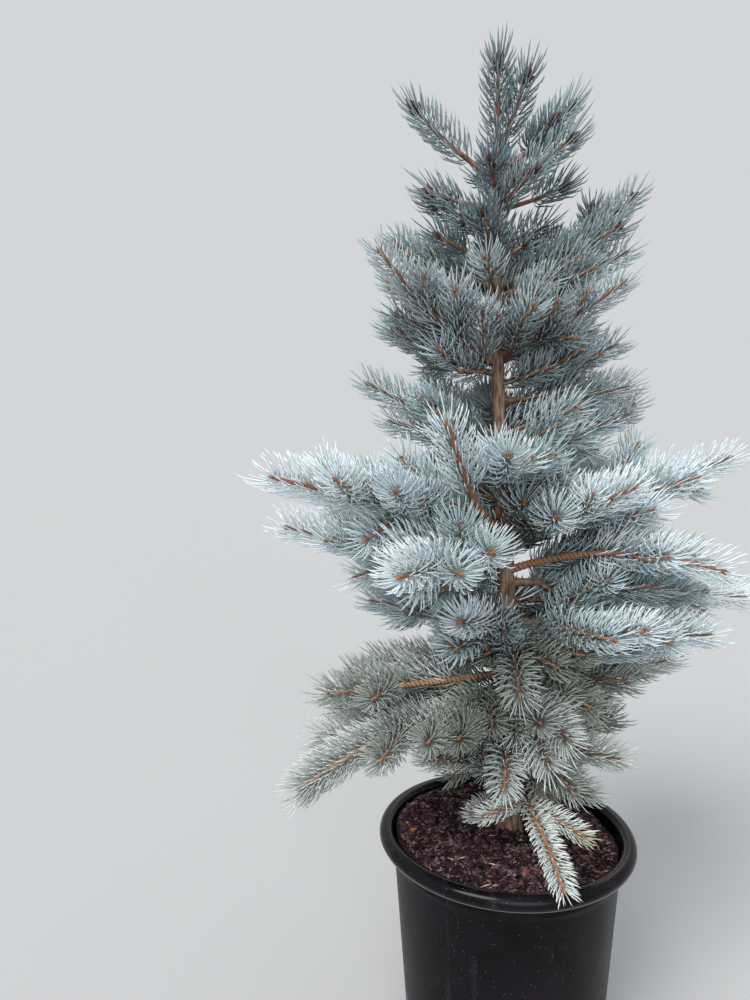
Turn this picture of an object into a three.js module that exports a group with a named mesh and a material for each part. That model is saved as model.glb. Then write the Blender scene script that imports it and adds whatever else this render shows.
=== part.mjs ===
// A young blue spruce growing in a round nursery pot, in millimetres, +Z up.
// The origin is the centre of the pot's flat underside. +X is to the viewer's right and
// +Y points away from the viewer. Azimuths run from +X anticlockwise, seen from above.

import * as THREE from 'three';
import { mergeVertices } from 'three/addons/utils/BufferGeometryUtils.js';

// Pot: a smooth tapered wall under a rolled rim
const POT_HEIGHT = 300;
const RIM_RADIUS = 185;
const ROLL_RADIUS = 10.5;
const SHOULDER_RADIUS = 166;
const BASE_RADIUS = 143;
const BASE_LIP = 3;
const BASE_LIP_HEIGHT = 14;
const POT_WALL = 3.5;
const POT_FLOOR = 4;
const AROUND_POT = 28;

// Compost: a shallow mound that fills the pot to just under the rim
const COMPOST_LEVEL = 278;
const COMPOST_EDGE_LEVEL = 270;
const COMPOST_PAD_RADIUS = 34;
const FIT_GAP = 0.3;

// Trunk: from the flat cut on the compost to the foot of the leading shoot
const TRUNK_FOOT = COMPOST_LEVEL + FIT_GAP;
const TRUNK_TOP = 1245;
const TRUNK_FOOT_RADIUS = 16.5;
const TRUNK_TOP_RADIUS = 5;
const FLARE = 7;
const FLARE_HEIGHT = 20;
const FLARE_LOBE = 2.2;
const FLARE_LOBES = 4;
const TRUNK_FOOT_X = 5;
const TRUNK_LEAN = -28;
const TRUNK_BOW = 4;
const TRUNK_SWAY = 2.5;
const TRUNK_SIDES = 9;
const TRUNK_RINGS = 24;
const TRUNK_RING_CROWDING = 1.2;

// Limbs and twigs
const LIMB_SIDES = 5;
const LIMB_RINGS = 3;
const BOUGH_RADIUS_AT_TRUNK = 3.6;
const BOUGH_RADIUS_PER_LENGTH = 0.012;
const TIP_RADIUS = 2.2;
const TWIG_RADIUS = 2.6;
const LIMB_SWELL = 1.3;
const JOINT_GAP = 0.3;
const TRUNK_GAP = 0.4;
const TRUNK_SEARCH_STEP = 0.0004;
const FACE_CHECKS = [0, 0.2, 0.4, 0.6, 0.8];

// Sprays of needles: slim cores whose facets are drawn out into needle points
const NEEDLE_REACHES = [23, 19, 15, 11, 8];
const NEEDLE_SWEEP = 15;
const NEEDLE_PITCH = 28;
const BARE_START = 14;
const FORK_SPACE = 13;
const CLEARANCE = 2.5;
const NEIGHBOURHOOD = 60;
const AXIS_STEPS = 6;
const CORE_SIDES = 3;
const CORE_TURN = THREE.MathUtils.degToRad(60 + 13);

// Branching: yearly nodes along a shoot, each with a twig to the left and to the right
const LONG_SHOOT = 250;
const MIDDLE_SHOOT = 140;
const SHORT_SHOOT = 75;
const NODES_ON_LONG = [0.24, 0.45, 0.69];
const NODES_ON_MIDDLE = [0.36, 0.66];
const NODES_ON_SHORT = [0.55];
const TWIG_SHARE = 0.62;
const TWIG_VARIATION = 0.35;
const LONGEST_TWIG = 150;
const SHORTEST_TWIG = 42;
const TWIG_ANGLE = 44;
const TWIG_ANGLE_SPREAD = 14;
const TWIG_LIFT_SPREAD = 0.5;
const TWIG_DROOP_SHARE = 0.42;
const TWIG_AWAY = 0.88;
const TWIG_FORWARD = 0.14;
const TWIG_RISE = 0.06;
const DEEPEST_TWIG = 2;
const TWIG_SPACE = 17;
const OWN_TWIG_SPACE = 12;
const TWIG_CHECKS = [0.35, 0.5, 0.65, 0.8, 1];

// Leading shoot and the rival that forks from it
const LEADER_TIP = new THREE.Vector3(-24, 0, 1400);
const RIVAL_RADIUS = 4;
const RIVAL_ELBOW = new THREE.Vector3(28, -5, 44);
const RIVAL_REACH = new THREE.Vector3(66, -10, 145);

// Boughs, whorl by whorl from the top: name, height at the trunk, azimuth, horizontal reach,
// height of the tip, length of the bare limb, and how far the bough arches above a plain sweep
const BOUGHS = [
  ['top_left', 1225, 183, 138, 1342, 0, 0],
  ['top_right', 1232, -4, 119, 1345, 0, 0],
  ['top_front_right', 1212, -34, 132, 1272, 0, 0],
  ['top_front', 1200, 254, 99, 1238, 0, 0],
  ['top_left_low', 1184, 178, 124, 1218, 0, 0],
  ['top_right_low', 1182, 4, 122, 1232, 0, 0],
  ['top_back', 1205, 75, 150, 1310, 0, 0],
  ['high_right', 1078, 12, 232, 1238, 0, 0],
  ['high_right_low', 1056, -6, 190, 1130, 0, 0],
  ['high_back', 1066, 80, 190, 1200, 0, 0],
  ['high_back_left', 1080, 138, 200, 1185, 0, 0],
  ['upper_front_right', 985, -32, 186, 1076, 55, 0],
  ['upper_front_left', 970, 215, 219, 1112, 65, 0],
  ['upper_left', 956, 190, 165, 1025, 0, 0],
  ['upper_right', 944, -8, 175, 1002, 0, 0],
  ['upper_right_low', 920, 14, 220, 944, 0, 0],
  ['upper_back_right', 975, 52, 240, 1065, 0, 0],
  ['upper_back_left', 980, 130, 240, 1065, 0, 0],
  ['middle_left', 872, 172, 205, 955, 0, 0],
  ['middle_right', 858, 22, 250, 925, 0, 0],
  ['middle_back', 868, 100, 260, 950, 0, 0],
  ['wide_front_left', 738, 241, 218, 903, 100, -40],
  ['wide_left', 756, 209, 366, 824, 85, 0],
  ['wide_front', 720, 240, 335, 718, 0, 0],
  ['wide_front_right', 738, -48, 216, 815, 60, 0],
  ['wide_right', 752, 2, 340, 845, 0, 0],
  ['wide_back_right', 772, 48, 315, 830, 0, 0],
  ['wide_back', 757, 92, 320, 840, 0, 0],
  ['wide_back_left', 742, 140, 325, 815, 0, 0],
  ['broad_front_right', 677, -34, 305, 700, 95, 35],
  ['broad_left', 684, 180, 330, 745, 0, 0],
  ['broad_right', 662, -3, 350, 642, 0, 0],
  ['low_right', 606, -26, 285, 614, 0, 0],
  ['low_back_right', 598, 45, 300, 640, 0, 0],
  ['low_back_left', 606, 135, 310, 640, 0, 0],
  ['skirt_left', 528, 206, 300, 540, 120, 0],
  ['skirt_front', 512, 284, 146, 427, 0, 0],
  ['skirt_front_right', 534, -42, 152, 498, 0, 0],
  ['skirt_right', 520, 6, 260, 540, 0, 0],
  ['skirt_back', 526, 92, 290, 560, 0, 0],
  ['foot_left', 438, 213, 358, 432, 110, 50],
  ['foot_front_left', 410, 222, 185, 455, 0, 0],
  ['foot_right', 432, -28, 175, 430, 0, 0],
  ['foot_front_right', 406, -52, 163, 398, 0, 0],
  ['foot_back_right', 425, 48, 240, 450, 0, 0],
  ['foot_back_left', 440, 135, 250, 455, 0, 0],
  ['hem_front', 368, 278, 222, 322, 0, 26],
  ['hem_front_left', 350, 235, 130, 362, 0, 0],
];
const RISING_SWEEP = 0.28;
const FALLING_SWEEP = 0.15;

const UP = new THREE.Vector3(0, 0, 1);
const ACROSS = new THREE.Vector3(1, 0, 0);
const STEEP = 0.85;
const TURNS_TRIED = 24;

// Materials

function material(colour, roughness) {
  return new THREE.MeshStandardMaterial({ color: colour, roughness, metalness: 0 });
}

const POT_COLOUR = 0x1c1d20;
const COMPOST_COLOUR = 0x2e211b;
const BARK_COLOUR = 0x6d5c4c;
const LIMB_COLOUR = 0x7a5a43;
const NEEDLE_COLOUR = 0x7f99a1;

// Small helpers

// A repeatable number from 0 up to 1 for a seed and a counter
function chance(seed, counter) {
  let mixed = (Math.imul(seed, 374761393) + Math.imul(counter, 668265263) + 1442695041) >>> 0;
  mixed = Math.imul(mixed ^ (mixed >>> 13), 1274126177) >>> 0;
  mixed = (mixed ^ (mixed >>> 16)) >>> 0;
  return mixed / 4294967296;
}

function pointOn(curve, t) {
  return curve.getPoint(t, new THREE.Vector3());
}

function directionOn(curve, t) {
  return curve.getTangent(t, new THREE.Vector3());
}

function curveLength(curve) {
  const chord = curve.v0.distanceTo(curve.v2);
  return (2 * chord + curve.v0.distanceTo(curve.v1) + curve.v1.distanceTo(curve.v2)) / 3;
}

function distanceToSegment(point, start, end) {
  const along = end.clone().sub(start);
  const share = THREE.MathUtils.clamp(point.clone().sub(start).dot(along) / along.lengthSq(), 0, 1);
  return point.distanceTo(along.multiplyScalar(share).add(start));
}

// A closed skin over rings of points, with a cap on each end
function loft(rings) {
  const sides = rings[0].length;
  const triangles = [];
  for (let ring = 0; ring + 1 < rings.length; ring += 1) {
    const near = rings[ring];
    const far = rings[ring + 1];
    for (let side = 0; side < sides; side += 1) {
      const next = (side + 1) % sides;
      triangles.push([near[side], near[next], far[next]], [near[side], far[next], far[side]]);
    }
  }
  const first = rings[0];
  const last = rings[rings.length - 1];
  for (let side = 1; side + 1 < sides; side += 1) {
    triangles.push([first[0], first[side + 1], first[side]], [last[0], last[side], last[side + 1]]);
  }
  return geometryFrom(triangles);
}

function geometryFrom(triangles) {
  const geometry = new THREE.BufferGeometry();
  const corners = triangles.flat().flatMap((corner) => corner.toArray());
  geometry.setAttribute('position', new THREE.Float32BufferAttribute(corners, 3));
  return mergeVertices(geometry, 1e-4);
}

function addMesh(group, name, geometry, surface) {
  geometry.computeVertexNormals();
  const mesh = new THREE.Mesh(geometry, surface);
  mesh.name = name;
  group.add(mesh);
}

// A ring of points round a centre, square to a direction. The reference settles where it starts.
function ringRound(centre, direction, radius, sides, turn, reference) {
  const across = new THREE.Vector3().crossVectors(direction, reference).normalize();
  const above = new THREE.Vector3().crossVectors(across, direction);
  return Array.from({ length: sides }, (_, side) => {
    const angle = turn + (2 * Math.PI * side) / sides;
    return centre.clone()
      .addScaledVector(across, radius * Math.cos(angle))
      .addScaledVector(above, -radius * Math.sin(angle));
  });
}

// Pot and compost

function turned(profile) {
  const points = profile.map(([radius, height]) => new THREE.Vector2(radius, height));
  const geometry = new THREE.LatheGeometry(points, AROUND_POT);
  geometry.deleteAttribute('normal');
  geometry.deleteAttribute('uv');
  geometry.rotateX(Math.PI / 2);
  return mergeVertices(geometry, 1e-3);
}

function wallRadius(height) {
  return THREE.MathUtils.mapLinear(height, 0, POT_HEIGHT, BASE_RADIUS, SHOULDER_RADIUS);
}

const ROLL_CENTRE_RADIUS = RIM_RADIUS - ROLL_RADIUS;
const ROLL_CENTRE_HEIGHT = POT_HEIGHT - ROLL_RADIUS;
const ROLL_STEPS = 6;

// The outside climbs from the base lip to the shoulder, goes round the roll and comes down inside
function potProfile() {
  const profile = [
    [0, 0],
    [BASE_RADIUS - BASE_LIP, 0],
    [wallRadius(BASE_LIP_HEIGHT) - BASE_LIP, BASE_LIP_HEIGHT],
    [wallRadius(BASE_LIP_HEIGHT), BASE_LIP_HEIGHT + BASE_LIP],
  ];
  const underRoll = ROLL_CENTRE_HEIGHT - ROLL_RADIUS;
  profile.push([wallRadius(underRoll), underRoll]);
  for (let step = 0; step <= ROLL_STEPS; step += 1) {
    const angle = THREE.MathUtils.degToRad(-90 + (270 * step) / ROLL_STEPS);
    profile.push([
      ROLL_CENTRE_RADIUS + ROLL_RADIUS * Math.cos(angle),
      ROLL_CENTRE_HEIGHT + ROLL_RADIUS * Math.sin(angle),
    ]);
  }
  profile.push([wallRadius(underRoll) - POT_WALL, underRoll]);
  profile.push([wallRadius(POT_FLOOR) - BASE_LIP - POT_WALL, POT_FLOOR]);
  profile.push([0, POT_FLOOR]);
  return profile;
}

function compostProfile() {
  const inside = (height) => {
    const low = wallRadius(POT_FLOOR) - BASE_LIP - POT_WALL;
    const underRoll = ROLL_CENTRE_HEIGHT - ROLL_RADIUS;
    const high = wallRadius(underRoll) - POT_WALL;
    return THREE.MathUtils.mapLinear(height, POT_FLOOR, underRoll, low, high) - FIT_GAP;
  };
  const bottom = POT_FLOOR + FIT_GAP;
  return [
    [0, bottom],
    [inside(bottom), bottom],
    [inside(COMPOST_EDGE_LEVEL), COMPOST_EDGE_LEVEL],
    [(inside(COMPOST_EDGE_LEVEL) + COMPOST_PAD_RADIUS) / 2, COMPOST_LEVEL - 1],
    [COMPOST_PAD_RADIUS, COMPOST_LEVEL],
    [0, COMPOST_LEVEL],
  ];
}

// Trunk

function trunkCentre(height) {
  const share = (height - TRUNK_FOOT) / (TRUNK_TOP - TRUNK_FOOT);
  return new THREE.Vector3(
    TRUNK_FOOT_X + TRUNK_LEAN * share + TRUNK_BOW * Math.sin(2 * Math.PI * share),
    TRUNK_SWAY * Math.sin(3 * Math.PI * share),
    height,
  );
}

// A steady taper, and a root flare that dies away above the foot
function trunkRadius(height) {
  const share = THREE.MathUtils.clamp((height - TRUNK_FOOT) / (TRUNK_TOP - TRUNK_FOOT), 0, 1);
  const taper = THREE.MathUtils.lerp(TRUNK_FOOT_RADIUS, TRUNK_TOP_RADIUS, share ** 1.1);
  return taper + FLARE * Math.exp((TRUNK_FOOT - height) / FLARE_HEIGHT);
}

function trunkRing(height) {
  const centre = trunkCentre(height);
  const lobe = FLARE_LOBE * Math.exp((TRUNK_FOOT - height) / FLARE_HEIGHT);
  return Array.from({ length: TRUNK_SIDES }, (_, side) => {
    const angle = (2 * Math.PI * side) / TRUNK_SIDES;
    const radius = trunkRadius(height) + lobe * Math.cos(FLARE_LOBES * angle);
    return new THREE.Vector3(
      centre.x + radius * Math.cos(angle),
      centre.y + radius * Math.sin(angle),
      height,
    );
  });
}

// Rings crowd together in the flare and spread out above it
function trunkGeometry() {
  const rings = Array.from({ length: TRUNK_RINGS + 1 }, (_, ring) => {
    const share = (ring / TRUNK_RINGS) ** TRUNK_RING_CROWDING;
    return trunkRing(THREE.MathUtils.lerp(TRUNK_FOOT, TRUNK_TOP, share));
  });
  return loft(rings);
}

// Gap between a point and the trunk's facets, measured level, or from its top for a point above
function gapToTrunk(point) {
  const centre = trunkCentre(Math.min(point.z, TRUNK_TOP));
  const facet = (2 * Math.PI) / TRUNK_SIDES;
  const angle = Math.atan2(point.y - centre.y, point.x - centre.x);
  const fromFacetMiddle = THREE.MathUtils.euclideanModulo(angle, facet) - facet / 2;
  const surface = (trunkRadius(point.z) * Math.cos(facet / 2)) / Math.cos(fromFacetMiddle);
  const beside = Math.hypot(point.x - centre.x, point.y - centre.y) - surface;
  const above = point.z - TRUNK_TOP;
  return above > 0 ? Math.hypot(Math.max(beside, 0), above) : beside;
}

// Boughs and twigs: every shoot is one curve, with the radius of its wood at both ends

function boughCurve([, base, azimuth, reach, tip, , arch]) {
  const angle = THREE.MathUtils.degToRad(azimuth);
  const out = new THREE.Vector3(Math.cos(angle), Math.sin(angle), 0);
  const start = trunkCentre(base);
  const rise = tip - base;
  const sweep = rise > 0 ? RISING_SWEEP : FALLING_SWEEP;
  const middle = start.clone().addScaledVector(out, reach / 2).addScaledVector(UP, rise * sweep + arch);
  const end = start.clone().addScaledVector(out, reach).addScaledVector(UP, rise);
  return new THREE.QuadraticBezierCurve3(start, middle, end);
}

function nodesOf(length) {
  if (length > LONG_SHOOT) return NODES_ON_LONG;
  if (length > MIDDLE_SHOOT) return NODES_ON_MIDDLE;
  if (length > SHORT_SHOOT) return NODES_ON_SHORT;
  return [];
}

// A twig leaves to one side at a forward angle, then bends towards its parent's direction and up
function twigCurve(parent, t, side, reach, seed) {
  const start = pointOn(parent, t);
  const forward = directionOn(parent, t);
  const sideways = new THREE.Vector3().crossVectors(forward, UP).normalize().multiplyScalar(side);
  const above = new THREE.Vector3().crossVectors(sideways, forward).multiplyScalar(side);
  const angle = THREE.MathUtils.degToRad(TWIG_ANGLE + TWIG_ANGLE_SPREAD * chance(seed, 1));
  const away = forward.clone().multiplyScalar(Math.cos(angle))
    .addScaledVector(sideways, Math.sin(angle))
    .addScaledVector(above, TWIG_LIFT_SPREAD * (chance(seed, 2) - TWIG_DROOP_SHARE))
    .normalize();
  const middle = start.clone().addScaledVector(away, reach / 2);
  const end = start.clone().addScaledVector(away, reach * TWIG_AWAY)
    .addScaledVector(forward, reach * TWIG_FORWARD)
    .addScaledVector(UP, reach * TWIG_RISE);
  return new THREE.QuadraticBezierCurve3(start, middle, end);
}

function bandsOf(shoot) {
  return Math.max(2, Math.round((curveLength(shoot.curve) * (1 - shoot.from)) / NEEDLE_PITCH));
}

function addTwigs(shoot, level, found) {
  found.push(shoot);
  if (level === DEEPEST_TWIG) return;
  const length = curveLength(shoot.curve);
  const bands = bandsOf(shoot);
  nodesOf(length).filter((node) => node >= shoot.from).forEach((node, place) => {
    const band = Math.floor(((node - shoot.from) / (1 - shoot.from)) * bands);
    const t = THREE.MathUtils.lerp(shoot.from, 1, (band + 0.5) / bands);
    [-1, 1].forEach((side) => {
      const seed = shoot.seed * 31 + place * 7 + side * 3 + 14;
      const share = TWIG_SHARE * (1 - TWIG_VARIATION / 2 + TWIG_VARIATION * chance(seed, 5));
      const reach = Math.min(share * (1 - t) * length, LONGEST_TWIG);
      if (reach < SHORTEST_TWIG) return;
      const curve = twigCurve(shoot.curve, t, side, reach, seed);
      addTwigs({ curve, seed, from: 0, rootRadius: TWIG_RADIUS, parent: shoot, band }, level + 1, found);
    });
  });
}

function boughRadius(length) {
  return BOUGH_RADIUS_AT_TRUNK + BOUGH_RADIUS_PER_LENGTH * length;
}

// Points spread over the end face of a shoot: its centre, and along its edges at several scales
function endFace(curve, t, radius, sides) {
  const centre = pointOn(curve, t);
  const corners = ringRound(centre, directionOn(curve, t), radius, sides, 0, UP);
  const edge = corners.flatMap((corner, side) => (
    FACE_CHECKS.map((share) => corner.clone().lerp(corners[(side + 1) % sides], share))
  ));
  return [centre, ...FACE_CHECKS.flatMap((share) => edge.map((point) => centre.clone().lerp(point, 1 - share)))];
}

// The first point of a bough whose end face stands clear of the trunk
function startAtTrunk(curve, radius, sides) {
  let t = 0;
  while (Math.min(...endFace(curve, t, radius, sides).map(gapToTrunk)) < TRUNK_GAP) t += TRUNK_SEARCH_STEP;
  return t;
}

const masses = BOUGHS.map((bough, index) => {
  const [name, , , , , bareLength] = bough;
  const curve = boughCurve(bough);
  const length = curveLength(curve);
  const rootRadius = boughRadius(length);
  const limbStart = bareLength > 0
    ? startAtTrunk(curve, rootRadius * LIMB_SWELL, LIMB_SIDES)
    : startAtTrunk(curve, rootRadius, CORE_SIDES);
  const from = Math.max(limbStart, bareLength / length);
  const shoots = [];
  addTwigs({ curve, seed: index + 1, from, rootRadius }, 0, shoots);
  return { name, curve, limbStart, from, rootRadius, shoots };
});

function leaderMass() {
  const start = trunkCentre(TRUNK_TOP);
  const middle = start.clone().lerp(LEADER_TIP, 0.5);
  const curve = new THREE.QuadraticBezierCurve3(start, middle, LEADER_TIP);
  const from = JOINT_GAP / curveLength(curve);
  const leader = { curve, seed: 0, from, rootRadius: TRUNK_TOP_RADIUS };
  const band = 0;
  const fork = pointOn(curve, 0.5 / bandsOf(leader));
  const elbow = fork.clone().add(RIVAL_ELBOW);
  const rivalCurve = new THREE.QuadraticBezierCurve3(fork, elbow, fork.clone().add(RIVAL_REACH));
  const rival = { curve: rivalCurve, seed: 1, from: 0, rootRadius: RIVAL_RADIUS, parent: leader, band };
  return { name: 'leader', curve, limbStart: from, from, rootRadius: TRUNK_TOP_RADIUS, shoots: [leader, rival] };
}
masses.push(leaderMass());

// Space: a needle keeps to the points that are nearer to its own twig than to any other wood

function axisSegments(shoot) {
  const points = Array.from({ length: AXIS_STEPS + 1 }, (_, step) => pointOn(shoot.curve, step / AXIS_STEPS));
  return points.slice(1).map((end, step) => ({ start: points[step], end, shoot }));
}


function distanceToPot(point) {
  const radius = Math.hypot(point.x, point.y);
  const roll = Math.hypot(radius - ROLL_CENTRE_RADIUS, point.z - ROLL_CENTRE_HEIGHT) - ROLL_RADIUS;
  return radius < ROLL_CENTRE_RADIUS ? Math.min(roll, point.z - COMPOST_LEVEL) : roll;
}

function distanceToWood(point, segments) {
  return segments.reduce((nearest, { start, end }) => (
    Math.min(nearest, distanceToSegment(point, start, end))
  ), Infinity);
}

for (const mass of masses) {
  for (const shoot of mass.shoots) shoot.segments = axisSegments(shoot);
}

// A twig that runs into other wood or the pot is skipped, with all that grows on it
function keepClearTwigs(mass) {
  const foreign = masses.filter((other) => other !== mass)
    .flatMap((other) => other.shoots.flatMap((shoot) => shoot.segments));
  const kept = [];
  for (const shoot of mass.shoots) {
    const own = kept.filter((other) => other !== shoot.parent).flatMap((other) => other.segments);
    const isClear = (t) => {
      const point = pointOn(shoot.curve, t);
      return Math.min(distanceToWood(point, foreign), gapToTrunk(point), distanceToPot(point)) > TWIG_SPACE
        && distanceToWood(point, own) > OWN_TWIG_SPACE;
    };
    if (!shoot.parent || (kept.includes(shoot.parent) && TWIG_CHECKS.every(isClear))) kept.push(shoot);
  }
  mass.shoots = kept;
  for (const shoot of kept) shoot.twigs = kept.filter((twig) => twig.parent === shoot);
}

masses.forEach(keepClearTwigs);

const allWood = masses.flatMap((mass) => mass.shoots.flatMap((shoot) => shoot.segments));

function woodNear(centre, shoot) {
  return allWood.filter((segment) => (
    segment.shoot !== shoot && distanceToSegment(centre, segment.start, segment.end) < NEIGHBOURHOOD
  ));
}

// The longest reach at which a needle still keeps to its own space, or 0 for none
function freeReach(root, out, wood) {
  const isFree = (reach) => {
    const point = root.clone().addScaledVector(out, reach);
    return distanceToWood(point, wood) > reach + CLEARANCE
      && Math.min(gapToTrunk(point), distanceToPot(point)) > CLEARANCE;
  };
  return NEEDLE_REACHES.find((reach) => [0, reach / 2, reach].every(isFree)) ?? 0;
}

// Needle sprays: a three-sided core whose rings are each turned against the last, so that the
// skin between two rings is six facets. Each facet is drawn out to a needle point where there
// is room, and a twig grows out of the facet that faces its way.

function spike(corners, point) {
  return corners.map((corner, side) => [corner, corners[(side + 1) % CORE_SIDES], point]);
}

// The turn of the second ring that lines it up best with the facet the twig grows from
function matchingTurn(corners, ringAt) {
  const misfit = (turn) => ringAt(turn).reduce((sum, corner, side) => {
    const middle = corners[side].clone().lerp(corners[(side + 1) % CORE_SIDES], 0.5);
    return sum + corner.distanceToSquared(middle);
  }, 0);
  const turns = Array.from({ length: TURNS_TRIED }, (_, step) => (2 * Math.PI * step) / TURNS_TRIED);
  return turns.reduce((best, turn) => (misfit(turn) < misfit(best) ? turn : best));
}

function coreRings(shoot, rootFacet) {
  const { curve, from, rootRadius } = shoot;
  const bands = bandsOf(shoot);
  const isSteep = Math.abs(directionOn(curve, 0.5).z) > STEEP;
  const reference = isSteep ? ACROSS : UP;
  const ringAt = (band, turn) => {
    const t = THREE.MathUtils.lerp(from, 1, band / bands);
    const radius = THREE.MathUtils.lerp(rootRadius, TIP_RADIUS, band / bands);
    return ringRound(pointOn(curve, t), directionOn(curve, t), radius, CORE_SIDES, turn, reference);
  };
  const turn = rootFacet ? matchingTurn(rootFacet, (tried) => ringAt(1, tried)) - CORE_TURN : 0;
  return Array.from({ length: bands + 1 }, (_, band) => {
    const t = THREE.MathUtils.lerp(from, 1, band / bands);
    const corners = band === 0 && rootFacet ? rootFacet : ringAt(band, turn + CORE_TURN * band);
    return { centre: pointOn(curve, t), direction: directionOn(curve, t), corners };
  });
}

// The six facets between two rings, with the foot and the outward direction of each
function facetsBetween(near, far) {
  const facets = [];
  for (let side = 0; side < CORE_SIDES; side += 1) {
    const next = (side + 1) % CORE_SIDES;
    facets.push({ corners: [near.corners[side], near.corners[next], far.corners[side]], share: 1 / 3 });
    facets.push({ corners: [far.corners[side], near.corners[next], far.corners[next]], share: 2 / 3 });
  }
  for (const facet of facets) {
    const [a, b, c] = facet.corners;
    facet.foot = near.centre.clone().lerp(far.centre, facet.share);
    facet.out = a.clone().add(b).add(c).divideScalar(3).sub(facet.foot);
    facet.out.addScaledVector(near.direction, -facet.out.dot(near.direction)).normalize();
  }
  return facets;
}

function needleOrFacet(facet, near, shoot) {
  const nearFork = shoot.twigs.some((twig) => facet.foot.distanceTo(twig.curve.v0) < FORK_SPACE);
  const nearRoot = facet.foot.distanceTo(pointOn(shoot.curve, shoot.from)) < BARE_START;
  if (nearFork || nearRoot) return [facet.corners];
  const root = facet.foot.clone().addScaledVector(near.direction, NEEDLE_SWEEP);
  const reach = freeReach(root, facet.out, woodNear(facet.foot, shoot));
  return reach === 0 ? [facet.corners] : spike(facet.corners, root.addScaledVector(facet.out, reach));
}

function spray(shoot, rootFacet) {
  const rings = coreRings(shoot, rootFacet);
  const triangles = [];
  for (let band = 0; band + 1 < rings.length; band += 1) {
    let facets = facetsBetween(rings[band], rings[band + 1]);
    for (const twig of shoot.twigs.filter((one) => one.band === band)) {
      const away = directionOn(twig.curve, 0);
      const door = facets.reduce((best, facet) => (facet.out.dot(away) > best.out.dot(away) ? facet : best));
      facets = facets.filter((facet) => facet !== door);
      triangles.push(...spray(twig, door.corners));
    }
    triangles.push(...facets.flatMap((facet) => needleOrFacet(facet, rings[band], shoot)));
  }
  if (!rootFacet) triangles.push([...rings[0].corners].reverse());
  const { centre, direction, corners } = rings[rings.length - 1];
  const tip = Math.max(freeReach(centre, direction, woodNear(centre, shoot)), TIP_RADIUS);
  triangles.push(...spike(corners, centre.clone().addScaledVector(direction, tip)));
  return triangles;
}

// A bare limb tapers from the trunk to the point where its bough enters the foliage
function limbGeometry(mass) {
  const end = mass.from - JOINT_GAP / curveLength(mass.curve);
  const rings = Array.from({ length: LIMB_RINGS + 1 }, (_, ring) => {
    const t = THREE.MathUtils.lerp(mass.limbStart, end, ring / LIMB_RINGS);
    const radius = mass.rootRadius * THREE.MathUtils.lerp(LIMB_SWELL, 1, ring / LIMB_RINGS);
    return ringRound(pointOn(mass.curve, t), directionOn(mass.curve, t), radius, LIMB_SIDES, 0, UP);
  });
  return loft(rings);
}

// Assembly

const tree = new THREE.Group();
addMesh(tree, 'pot', turned(potProfile()), material(POT_COLOUR, 0.45));
addMesh(tree, 'compost', turned(compostProfile()), material(COMPOST_COLOUR, 0.95));
addMesh(tree, 'trunk', trunkGeometry(), material(BARK_COLOUR, 0.85));
for (const mass of masses) {
  if (mass.from > mass.limbStart) {
    addMesh(tree, `${mass.name}_limb`, limbGeometry(mass), material(LIMB_COLOUR, 0.8));
  }
  addMesh(tree, `${mass.name}_foliage`, geometryFrom(spray(mass.shoots[0])), material(NEEDLE_COLOUR, 0.6));
}

export default tree;
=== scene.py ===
# %% [markdown]
# # A blue spruce in a nursery pot
#
# This lesson dresses a small conifer: a black plastic pot, rough compost, a scaly trunk, boughs in whorls,
# and shoots that carry stiff silvery blue needles all round. The plain solids come from the CAD model, which
# holds every size. We load it first, and measure its box, because what we add may pass it by very little.

# %% Load the frame
import math

import bpy
import numpy as np
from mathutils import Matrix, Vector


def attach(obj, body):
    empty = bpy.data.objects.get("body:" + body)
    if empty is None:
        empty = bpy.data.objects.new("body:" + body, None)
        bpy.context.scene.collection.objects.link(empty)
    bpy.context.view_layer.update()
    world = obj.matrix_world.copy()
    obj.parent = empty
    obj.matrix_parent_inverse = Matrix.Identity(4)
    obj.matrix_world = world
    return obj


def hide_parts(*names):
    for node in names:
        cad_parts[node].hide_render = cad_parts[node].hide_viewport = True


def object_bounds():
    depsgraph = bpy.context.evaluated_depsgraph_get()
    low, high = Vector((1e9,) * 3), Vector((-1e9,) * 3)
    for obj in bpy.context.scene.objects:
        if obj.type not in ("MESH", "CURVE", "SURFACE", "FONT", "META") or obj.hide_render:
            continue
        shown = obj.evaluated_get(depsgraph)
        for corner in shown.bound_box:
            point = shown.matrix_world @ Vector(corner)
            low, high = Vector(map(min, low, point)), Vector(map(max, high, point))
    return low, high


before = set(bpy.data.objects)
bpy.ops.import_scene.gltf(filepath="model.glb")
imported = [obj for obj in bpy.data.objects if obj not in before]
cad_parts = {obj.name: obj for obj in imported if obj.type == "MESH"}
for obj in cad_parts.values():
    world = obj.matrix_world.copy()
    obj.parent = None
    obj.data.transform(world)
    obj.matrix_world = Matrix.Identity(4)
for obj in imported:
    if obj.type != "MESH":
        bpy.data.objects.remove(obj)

cad_low, cad_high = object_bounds()
MM = 0.001
print("CAD box in metres", [round(v, 3) for v in (*cad_low, *cad_high)])

# %% [markdown]
# ## The camera
#
# A photograph of a plant is easiest to match when the camera stands where the photographer stood. The place
# and the focal length were worked out from the ellipse of the pot's rim and the length of the trunk. The view
# looks slightly down, so that the rim and the compost show and the foot of the pot leaves the picture.

# %% Camera
CAMERA_PLACE = (-0.1918, -1.0686, 0.8617)
CAMERA_PITCH = 85.6
CAMERA_LENS = 27.04

camera_data = bpy.data.cameras.new("camera")
camera_data.lens = CAMERA_LENS
camera_data.sensor_width = 36.0
camera_data.clip_start = 0.02
camera = bpy.data.objects.new("camera", camera_data)
camera.location = CAMERA_PLACE
camera.rotation_euler = (math.radians(CAMERA_PITCH), 0.0, 0.0)
bpy.context.scene.collection.objects.link(camera)
bpy.context.scene.camera = camera
print("camera at", CAMERA_PLACE)

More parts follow.
